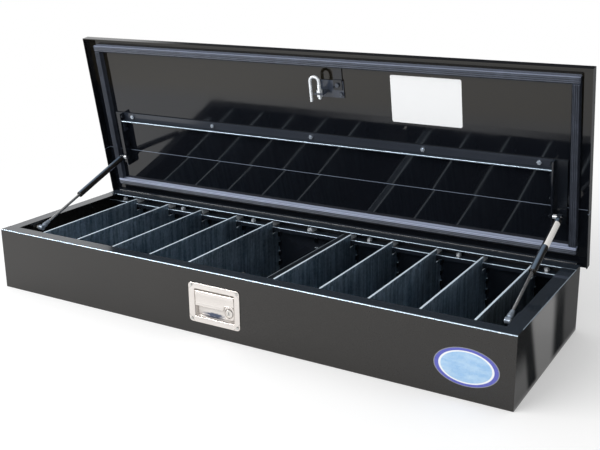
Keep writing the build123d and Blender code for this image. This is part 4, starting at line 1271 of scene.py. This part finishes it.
@dataclass
class LidSeals:
    """Four ribbed rubber strips inside the lid's edge.

    Attributes:
        width: Width of a strip.
        gap: How far its crown stays over the rim plane.
        half_length: Half the length of the long strips.
        front_reach: Outer edge of the front strip from the hinge line.
        rear_reach: Inner edge of the rear strip from the hinge line.
        ribs: Ribs along each strip.
        rib_height: Height of a rib.
        fall: How far the crown falls to its sides, as a share of the height.
        crown_width: Width of the crown, as a share of the strip's.
        shoulder: Height of the sides, as a share of the height.
        waist: How far the sides draw in, as a share of half the width.
        ends: Rows of distance from an end, as a share of the length, and the section's size there.
    """

    width: float = 0.020
    gap: float = 0.0003
    half_length: float = 0.748
    front_reach: float = 0.488
    rear_reach: float = 0.023
    ribs: int = 4
    rib_height: float = 0.0022
    fall: float = 0.16
    crown_width: float = 0.97
    shoulder: float = 0.837
    waist: float = 0.10
    ends: tuple[Pair, ...] = ((0.0, 0.90), (0.0015, 0.97), (0.003, 1.0))

    def _profile(self) -> tuple[Points, Points]:
        """The strip's outline, round from one foot to the other.

        Returns:
            Across the strip from -1 to 1, and height as a share of the full height: straight sides
            that draw in a little, then a crown of ribs, 1 - rib (1 + cos(pi ribs (c + 1))) / 2 - fall c^4.
        """
        side = np.linspace(0.0, 1.0, 7)
        crown = np.linspace(-1.0, 1.0, 49)
        rib = self.rib_height / LID.rise * (1.0 + np.cos(math.pi * self.ribs * (crown + 1.0))) / 2
        pull = 1.0 - self.waist * np.sin(side * math.pi) ** 2
        wall = side * self.shoulder
        across = np.concatenate([-pull, crown * self.crown_width, pull[::-1]])
        share = np.concatenate([wall, 1.0 - rib - self.fall * crown**4, wall[::-1]])
        return across, share

    def _strip(self, side: str, start: Pair, end: Pair) -> Piece:
        """One strip carried along a straight line over the skin, its width square to the line.

        Args:
            side: Which edge of the lid it runs along.
            start: Along and reach of the line's start.
            end: Along and reach of its end.

        Returns:
            The strip.
        """
        across, share = self._profile()
        near, size = np.array(self.ends).T
        stations = np.concatenate([near, np.linspace(0.01, 0.99, 41), 1.0 - near[::-1]])
        pinch = np.interp(np.minimum(stations, 1.0 - stations), near, size)[:, None]
        along, reach = (first + (last - first) * stations[:, None] for first, last in zip(start, end))
        offset = across * pinch * self.width / 2
        if start[1] == end[1]:
            reach = reach + offset
        else:
            along = along + offset
        base = LID.skin(reach)
        points = LID.point(along, reach, base - (self.gap + base) * share * pinch)
        faces = capped_faces(*points.shape[:2])
        piece = mesh_piece(f"{side}_seal_strip", points, faces, SEAL, "lid", 50.0)
        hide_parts(f"{side}_seal")
        return piece

    def build(self) -> list[Piece]:
        """Builds the four strips, the long ones first.

        Returns:
            The strips.
        """
        half, long = self.width / 2, self.half_length
        front, rear, side = self.front_reach - half, self.rear_reach + half, long - half
        return [
            self._strip("front", (-long, front), (long, front)),
            self._strip("rear", (-long, rear), (long, rear)),
            self._strip("left", (-side, rear + half), (-side, front - half)),
            self._strip("right", (side, rear + half), (side, front - half)),
        ]


class Side(Enum):
    """The two ends of the box."""

    LEFT = "left"
    RIGHT = "right"


@dataclass
class GasStrut:
    """One gas strut: dressed CAD tube, rod and sockets, and a rolled tube mouth with its wiper.

    Attributes:
        side: The end of the box that it stands at.
        foot: Distance and height of its foot pivot, in metres.
        direction: Direction from foot to head.
        mouth: Distance of the tube's mouth from the foot pivot.
        tube: Tube radius.
        bore: Radius of a bore round the rod.
        seat: How far the mouth's back sits inside the tube.
        inset: How far it stays inside the tube's wall.
        roll: Radius of the rolled lip.
        flatten: Length of the lip as a share of that radius.
        wiper: Rows of distance from the mouth and radius, from the lip in to the bore.
        collar: Rows of distance from the foot pivot and radius of the rod's end fitting.
        white: Where the label's white side starts, beside the strut's line.
    """

    side: Side
    foot: Pair = (-0.143, 0.1595)
    direction: Point = (0.0, 0.936431, 0.350851)
    mouth: float = 0.1738
    tube: float = 0.009
    bore: float = 0.0042
    seat: float = 0.0004
    inset: float = 0.0001
    roll: float = 0.0022
    flatten: float = 0.9
    wiper: tuple[Pair, ...] = (
        (-0.0016, 0.0062), (-0.0010, 0.0058), (-0.0010, 0.0054), (-0.0024, 0.0051), (-0.0026, 0.0046),
        (-0.0022, 0.0042),
    )
    collar: tuple[Pair, ...] = (
        (0.0085, 0.0042), (0.0085, 0.0062), (0.0095, 0.0072), (0.0175, 0.0072), (0.0190, 0.0066),
        (0.0245, 0.0062), (0.0290, 0.0056), (0.0325, 0.0050), (0.0335, 0.0046), (0.0338, 0.0042),
    )
    white: float = -0.0015

    def _spun(self, profile: Points, sides: int, start: float = 0.0) -> Points:
        """A profile spun round the strut's line.

        Args:
            profile: Rows of distance along the line and radius.
            sides: Points round the line.
            start: Where the distances start from the foot pivot.

        Returns:
            One ring of points for each row.
        """
        across = middle(f"{self.side.value}_tube_socket")[0]
        line = np.array(self.direction)
        return spun(np.array([across, *self.foot]) + line * start, line, profile, sides)

    def _mouth(self) -> Piece:
        """A rolled lip: a quarter round from the tube's wall in to the rod, with a raised wiper ring.

        Returns:
            The mouth.
        """
        turn = np.linspace(0.0, math.pi / 2, 9)
        lip = np.stack([self.seat - self.flatten * self.roll * np.sin(turn),
                        self.tube - self.roll + self.roll * np.cos(turn)], axis=1)
        outer, inner = (self.seat, self.tube - self.inset), (self.seat, self.bore)
        points = self._spun(np.concatenate([[outer], lip, self.wiper, [inner]]), 48, self.mouth)
        faces = grid_faces(*points.shape[:2], close_rows=True)
        name = f"{self.side.value}_tube"
        return mesh_piece(f"{name}_mouth", points, faces, TUBE_LACQUER, name, 40.0)

    def _sleeve(self) -> Piece:
        """The end fitting on the rod: a collar that tapers to the rod in soft steps.

        Returns:
            The fitting.
        """
        points = self._spun(np.array(self.collar), 32)
        name = f"{self.side.value}_rod"
        return mesh_piece(f"{name}_sleeve", points, capped_faces(*points.shape[:2]), FITTING, name, 40.0)

    def build(self) -> list[Piece]:
        """Dresses the strut, and adds the tube's mouth and the rod's end fitting.

        Returns:
            Both pieces.
        """
        side = self.side.value
        dress(TUBE_LACQUER, f"{side}_strut_tube")
        dress(CHROME, f"{side}_strut_rod")
        dress(FITTING, f"{side}_rod_socket")
        dress(PLAIN_COAT, f"{side}_tube_socket")
        dress(BRIGHT_ZINC, f"{side}_lid_stud")
        if self.side is Side.RIGHT:
            dress(Wrap("strut_wrap", start=middle("right_tube_socket")[0] + self.white), "strut_label")
        return [self._mouth(), self._sleeve()]


@dataclass
class PaddleLatch:
    """The flush paddle latch: pan, folded paddle with its lock ring, and hook. Its sizes are in millimetres.

    Attributes:
        pan: Rows of the pan's section from its edge in: half width, half height, corner and depth.
        pan_back: The same rows for its back, from the middle out.
        tail_slot: Half width, half height, corner and place of the slot in the pan's back.
        fold: The paddle's section: height and depth, round the sheet.
        ring: Rows of the sheet round the lock, from its edge in and back.
        half: Half the paddle's width.
        plain: Where the sheet's plain stretch starts, across.
        edge: Rows of distance from the sheet's end, and its thickness there as a share.
        centre_depth: Depth that the sheet's ends close towards.
        lock: Place of the lock from the middle of the pan.
        narrow: Where the paddle narrows over the lock, across.
        waist: Height on the paddle under which it shortens over the lock.
        lowest: Height of its lower edge there.
        tail: Box of the paddle's tail: across, depth and height.
        streak: Place of the dull streak from the middle of the pan: across, depth and height.
        corner_points: Points on the arc of a ring's corner.
    """

    pan: tuple[Row, ...] = (
        (77.5, 52.5, 9.0, 1.5), (77.5, 52.5, 9.0, 0.7), (77.1, 52.1, 8.7, 0.25), (76.2, 51.2, 8.0, 0.0),
        (75.0, 50.0, 7.0, 0.05), (74.0, 49.0, 6.2, 0.45), (73.2, 48.2, 5.6, 0.7), (65.0, 40.6, 4.4, 0.7),
        (63.0, 39.0, 4.0, 0.45), (61.8, 37.8, 3.8, 0.8), (60.8, 36.8, 3.4, 2.0), (60.2, 36.2, 3.0, 4.0),
        (60.0, 36.0, 3.0, 8.0), (60.0, 36.0, 3.0, 16.8), (59.8, 35.8, 2.8, 17.7), (59.4, 35.4, 2.6, 18.0),
    )
    pan_back: tuple[Row, ...] = (
        (59.4, 35.4, 3.6, 19.5), (61.2, 37.2, 3.6, 19.2), (61.5, 37.5, 3.6, 17.5), (61.5, 37.5, 3.6, 3.0),
        (62.8, 38.8, 4.0, 1.7), (64.5, 40.5, 4.4, 1.5),
    )
    tail_slot: tuple[float, float, float, float, float] = (2.6, 10.6, 0.5, 56.4, 24.4)
    fold: tuple[Pair, ...] = (
        (31.5, 8.0), (32.6, 6.0), (32.4, 4.2), (31.2, 2.6), (29.4, 1.6), (27.0, 1.1), (23.5, 1.0),
        (20.0, 1.3), (18.4, 1.9), (17.0, 2.1), (8.0, 2.3), (0.0, 2.2), (-2.2, 1.8), (-3.6, 1.1),
        (-5.6, 0.9), (-7.2, 1.2), (-8.0, 2.2), (-8.0, 6.5), (-7.2, 7.0), (-6.4, 6.5), (-6.2, 3.6),
        (-2.0, 3.7), (8.0, 3.9), (18.0, 3.7), (22.0, 2.9), (27.0, 3.0), (29.6, 3.8), (30.6, 5.2), (30.3, 8.0),
    )
    ring: tuple[Row, ...] = (
        (14.0, 16.0, 6.0, 3.9), (14.0, 16.0, 6.0, 2.8), (13.7, 15.7, 5.8, 2.3), (13.6, 14.6, 10.0, 2.2),
        (13.5, 13.5, 13.5, 2.1), (13.1, 13.1, 13.1, 1.5), (12.7, 12.7, 12.7, 1.4), (12.4, 12.4, 12.4, 1.8),
        (12.3, 12.3, 12.3, 9.0), (13.2, 13.2, 13.2, 9.0), (13.3, 13.3, 13.3, 4.0),
    )
    half: float = 59.0
    plain: float = -50.0
    edge: tuple[Pair, ...] = ((0.0, 0.55), (0.4, 0.86), (1.2, 1.0))
    centre_depth: float = 3.0
    lock: Pair = (45.0, -11.5)
    narrow: Pair = (27.5, 32.5)
    waist: float = 9.0
    lowest: float = 4.7
    tail: tuple[Pair, Pair, Pair] = ((54.5, 58.5), (10.5, 25.5), (29.0, 33.0))
    streak: Point = (-12.0, 18.0, -32.5)
    corner_points: int = 8

    def _front(self) -> Points:
        """The middle of the pan's front, in metres."""
        across, _, up = middle("latch_dish")
        return np.array([across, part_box("latch_dish")[0][1], up])

    def _rings(self, name: str, rows: Points, finish: Finish, body: str) -> Piece:
        """A sheet whose section runs round from its front to its back, as a stack of rounded rectangles.

        Args:
            name: The piece's name.
            rows: Half width, half height, corner radius, depth, and shift across and up.
            finish: Its finish.
            body: The body that it moves with.

        Returns:
            The piece; each corner's arc is corner middle + corner (cos t, sin t).
        """
        turn = np.linspace(0.0, math.pi / 2, self.corner_points) + np.arange(4)[:, None] * math.pi / 2
        side, rise = (np.sign(part(turn.mean(axis=1)))[:, None] for part in (np.cos, np.sin))
        half_width, half_height, corner, depth, shift, lift = rows.T[:, :, None, None]
        across = side * (half_width - corner) + corner * np.cos(turn) + shift
        up = rise * (half_height - corner) + corner * np.sin(turn) + lift
        points = np.stack([across, np.broadcast_to(depth, across.shape), up], axis=-1) * MM + self._front()
        faces = grid_faces(len(rows), 4 * self.corner_points, close_rows=True)
        return mesh_piece(name, points, faces, finish, body, 38.0)

    def _pan(self) -> Piece:
        """The pan, with a slot in its back for the paddle's tail.

        Returns:
            The pan.
        """
        *slot, across, up = self.tail_slot
        through = [(*slot, depth, across, up) for depth in (self.pan[-1][3], self.pan_back[0][3])]
        front, back = (np.pad(np.array(rows), ((0, 0), (0, 2))) for rows in (self.pan, self.pan_back))
        streak = tuple(self._front() + np.array(self.streak) * MM)
        finish = PanSteel("pan_steel", centre=tuple(self._front()), streak=streak)
        piece = self._rings("latch_pan", np.concatenate([front, through, back]), finish, "box")
        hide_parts("latch_dish")
        return piece

    def _sheet(self) -> Piece:
        """The folded sheet, carried along the latch and narrowed over the lock.

        Returns:
            The sheet: height = waist + (height - waist) squeeze under the waist, where squeeze falls
            from 1 in a smooth step across, and depth closes towards the centre depth at both ends.
        """
        near, size = np.array(self.edge).T
        start, end = self.narrow
        station = np.concatenate([
            near - self.half, np.linspace(self.plain, start, 9), np.linspace(start + 1.0, end, 5),
            self.lock[:1], self.half - near[::-1],
        ])
        pinch = np.interp(self.half - np.abs(station), near, size)[:, None]
        over = np.interp(station, self.narrow, [0.0, 1.0])[:, None]
        over = over * over * (3.0 - 2.0 * over)
        height, depth = np.array(self.fold).T
        squeeze = 1.0 + over * ((self.waist - self.lowest) / (self.waist - height.min()) - 1.0)
        height = np.where(height < self.waist, self.waist + (height - self.waist) * squeeze, height)
        depth = self.centre_depth + (depth - self.centre_depth) * pinch
        across = np.broadcast_to(station[:, None], height.shape)
        points = np.stack([across, depth, height], axis=-1) * MM + self._front()
        piece = mesh_piece("paddle_sheet", points, capped_faces(*height.shape), LATCH_STEEL, "paddle", 38.0)
        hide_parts("paddle")
        return piece

    def _tail(self) -> Piece:
        """The paddle's tail, a plain block.

        Returns:
            The tail.
        """
        corners = np.stack(np.meshgrid(*self.tail, indexing="ij"), axis=-1) * MM + self._front()
        walls = [[0, 1, 3, 2], [4, 6, 7, 5], [0, 4, 5, 1], [2, 3, 7, 6], [0, 2, 6, 4], [1, 5, 7, 3]]
        return mesh_piece("paddle_tail", corners, walls, LATCH_STEEL, "paddle", 38.0)

    def build(self) -> list[Piece]:
        """Builds the pan and the paddle, and dresses the rest.

        Returns:
            The pan, and the paddle's sheet, lock ring and tail.
        """
        dress(LATCH_STEEL, "lock_barrel")
        dress(DULL_ZINC, "latch_case", "latch_hook", "latch_pins", "latch_rivets")
        dress(GASKET, "latch_gasket")
        dress(KeyFace("key_face", centre=middle("lock_plug")), "lock_plug")
        ring = np.array([(*row, *self.lock) for row in self.ring])
        return [
            self._pan(),
            self._sheet(),
            self._rings("lock_ring", ring, LATCH_STEEL, "paddle"),
            self._tail(),
        ]


@dataclass
class Badge:
    """The oval badge at the right of the front, with a domed resin face.

    Attributes:
        crown: Height of the dome over the film.
        rings: Rings of points from the middle to the edge.
        sides: Points round the oval.
    """

    crown: float = 0.0011
    rings: int = 20
    sides: int = 96

    def build(self) -> list[Piece]:
        """The dome: height = crown (1 - r^4) over the film, with r as a share of the oval, and an edge wall.

        Returns:
            The badge.
        """
        low, high = (np.array(corner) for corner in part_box("front_badge"))
        centre, half = (low + high) / 2, (high - low) / 2
        share = np.linspace(0.0, 1.0, self.rings + 1)[1:]
        angle = np.linspace(0.0, FULL_TURN, self.sides, endpoint=False)
        ring, turn = np.meshgrid(share, angle, indexing="ij")
        face = np.stack([centre[0] + half[0] * ring * np.cos(turn), low[1] - self.crown * (1.0 - ring**4),
                         centre[2] + half[2] * ring * np.sin(turn)], axis=-1)
        wall = face[-1:].copy()
        wall[..., 1] = high[1]
        top = np.array([[centre[0], low[1] - self.crown, centre[2]]])
        points = np.concatenate([face.reshape(-1, 3), wall.reshape(-1, 3), top])
        first = np.arange(self.sides)
        fan = np.stack([np.full(self.sides, len(points) - 1), np.roll(first, -1), first], axis=1)
        back = first + self.rings * self.sides
        faces = grid_faces(self.rings + 1, self.sides) + fan.tolist() + [back.tolist()]
        finish = BadgeResin("badge_resin", centre=tuple(centre), half=(half[0], half[2]))
        piece = mesh_piece("oval_badge", points, faces, finish, "box", 45.0)
        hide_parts("front_badge")
        return [piece]


@dataclass
class Studio:
    """Camera, floor, world and lamp.

    Attributes:
        eye: Where the camera stands, in metres.
        azimuth: Its turn from the front, in degrees.
        elevation: How far it looks down, in degrees.
        roll: Its small roll, in degrees.
        lens: Focal length on a 36 mm sensor.
        shift: Horizontal and vertical shift.
        floor_half: Half the floor's width.
        floor_gap: How far the floor stays under the box.
        fade: Distances where the floor starts to fade into the white backdrop and has faded.
        paint: Colour of the floor.
        mirrored_shade: Colour of a dark patch on the floor that only gloss sees, painted shade in the right
            end panel's reflection.
        mirrored_shade_from: Where that patch begins along the box.
        slant: Slope of its pale streaks.
        sky: Strength of the light from all round.
        overhead: Share by which the mirrored sky dims overhead.
        behind: Share by which it dims behind the box, but not past its left end.
        lamp: Place of the lamp, and the point that it lights.
        lamp_size: Width and height of the lamp.
        power: Its power in watts.
    """

    eye: Point = (1.2866, -1.9745, 0.9662)
    azimuth: float = 30.59
    elevation: float = 16.19
    roll: float = -0.58
    lens: float = 55.47
    shift: Pair = (-0.0146, -0.030)
    floor_half: float = 14.0
    floor_gap: float = 0.0004
    fade: Pair = (0.9, 2.2)
    paint: Colour = (0.82, 0.82, 0.82)
    mirrored_shade: Colour = (0.02, 0.025, 0.03)
    mirrored_shade_from: float = 0.762
    slant: float = 3.76
    sky: float = 0.70
    overhead: float = 0.75
    behind: float = 0.92
    lamp: tuple[Point, Point] = ((-1.6, -2.4, 2.05), (0.0, 0.0, 0.2))
    lamp_size: Pair = (4.0, 0.35)
    power: float = 85.0

    def _camera(self) -> None:
        """Turns a camera to the set angles."""
        turn, tilt, roll = (math.radians(value) for value in (self.azimuth, self.elevation, self.roll))
        ahead = Vector((-math.sin(turn) * math.cos(tilt), math.cos(turn) * math.cos(tilt), -math.sin(tilt)))
        level = Vector((math.cos(turn), math.sin(turn), 0.0))
        right = math.cos(roll) * level + math.sin(roll) * level.cross(ahead)
        over = right.cross(ahead)
        data = bpy.data.cameras.new("view_camera")
        data.sensor_width = 36.0
        data.lens = self.lens
        data.shift_x, data.shift_y = self.shift
        data.clip_start = 0.05
        camera = bpy.data.objects.new("view_camera", data)
        bpy.context.scene.collection.objects.link(camera)
        camera.matrix_world = Matrix(
            [[right[i], over[i], -ahead[i], self.eye[i]] for i in range(3)] + [[0.0, 0.0, 0.0, 1.0]]
        )
        bpy.context.scene.camera = camera

    def _mirrored_shade(self, graph: Graph, across: Channel, back: Channel) -> Channel:
        """How much of the painted shade shows: 1 on it, and less on its pale streaks, which slant and widen.

        Args:
            graph: Where the nodes go.
            across: Distance along the box.
            back: Distance towards its back.

        Returns:
            The mask, which is 0 for all but gloss.
        """
        # Painted shade for reflections past the box's right end, with pale streaks.
        beyond = across - self.mirrored_shade_from
        line = back - self.slant * beyond
        wedge = line + 0.9 * beyond
        wide = wedge.step(-0.095, -0.065) * (1.0 - line.step(0.010, 0.065))
        near = (1.0 - wedge.step(-0.160, -0.130)) * (1.0 - beyond.step(0.03, 0.085))
        fold = wide + 0.62 * near + 0.25 * line.step(0.11, 0.15)
        return graph.ray("Glossy") * across.step(self.mirrored_shade_from, self.mirrored_shade_from + 0.008) * (1.0 - 0.9 * fold)

    def _floor(self) -> None:
        """A wide floor sheet just under the box, pale, white where only seen, and with painted shade that
        only gloss sees past the box's right end.
        """
        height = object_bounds()[0][2] - self.floor_gap
        turns = ((-1, -1), (1, -1), (1, 1), (-1, 1))
        corners = [(x * self.floor_half, y * self.floor_half, height) for x, y in turns]
        mesh = bpy.data.meshes.new("studio_floor")
        mesh.from_pydata(corners, [], [range(4)])
        material = bpy.data.materials.new("studio_floor")
        material.use_nodes = True
        graph = Graph(material.node_tree)
        across, back, _ = graph.parts(graph.here)
        far = ((across * across + back * back) ** 0.5).step(*self.fade)
        paint = graph.node("BsdfDiffuse", {"Color": self.paint})
        glow, white, black = (
            graph.node("Emission", {"Color": colour, "Strength": strength})
            for colour, strength in (((1.0, 1.0, 1.0), 0.22), ((1.0, 1.0, 1.0), 1.0), (self.mirrored_shade, 1.0))
        )
        lifted = graph.node("AddShader", {0: paint.outputs[0], 1: glow.outputs[0]})
        shown = graph.blend(self._mirrored_shade(graph, across, back), graph.blend(far, lifted, white), black)
        graph.output("Material", graph.blend(graph.ray("Camera", "Glossy", "Transmission"), paint, shown))
        mesh.materials.append(material)
        floor = bpy.data.objects.new("studio_floor", mesh)
        bpy.context.scene.collection.objects.link(floor)
        floor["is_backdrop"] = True

    def _world(self) -> None:
        """White where it is seen, dimmer overhead where it is mirrored, and an even light elsewhere."""
        world = bpy.data.worlds.new("studio")
        world.use_nodes = True
        bpy.context.scene.world = world
        graph = Graph(world.node_tree)
        across, back, height = graph.parts(graph.node("TexCoord").outputs["Generated"])
        rear = back.step(0.35, 0.60) * across.step(-0.67, -0.61)
        mirrored = (1.0 - self.overhead * height.step(0.30, 0.55)) * (1.0 - self.behind * rear)
        lit, shown = (
            graph.node("Background", {"Color": (1.0, 1.0, 1.0), "Strength": strength})
            for strength in (self.sky, mirrored.either(graph.ray("Camera")))
        )
        graph.output("World", graph.blend(graph.ray("Camera", "Glossy", "Transmission"), lit, shown))

    def _lamp(self) -> None:
        """A large soft lamp, turned to the point that it lights."""
        place, target = self.lamp
        data = bpy.data.lights.new("key_lamp", "AREA")
        data.shape = "RECTANGLE"
        data.size, data.size_y = self.lamp_size
        data.energy = self.power
        lamp = bpy.data.objects.new("key_lamp", data)
        lamp.location = place
        lamp.rotation_euler = (Vector(target) - Vector(place)).to_track_quat("-Z", "Y").to_euler()
        bpy.context.scene.collection.objects.link(lamp)

    def build(self) -> list[Piece]:
        """Sets the studio up.

        Returns:
            No pieces.
        """
        bpy.context.scene.view_settings.view_transform = "Standard"
        self._camera()
        self._floor()
        self._world()
        self._lamp()
        return []


def main() -> None:
    """Builds the sub-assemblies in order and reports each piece."""
    logging.basicConfig(level=logging.INFO, format="%(name)s: %(message)s")
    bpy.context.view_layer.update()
    crew = (
        Studio(), BoxShell(), DividerSet(), LidShell(), StrikerThreads(), LidSeals(), Hinge(),
        GasStrut(Side.LEFT), GasStrut(Side.RIGHT), PaddleLatch(), Badge(),
    )
    for member in crew:
        pieces = member.build()
        LOG.info("%s: %d new pieces", type(member).__name__, len(pieces))
        for piece in pieces:
            LOG.info("  %s, %d faces", piece.name, len(piece.data.polygons))


if __name__ == "__main__":
    main()
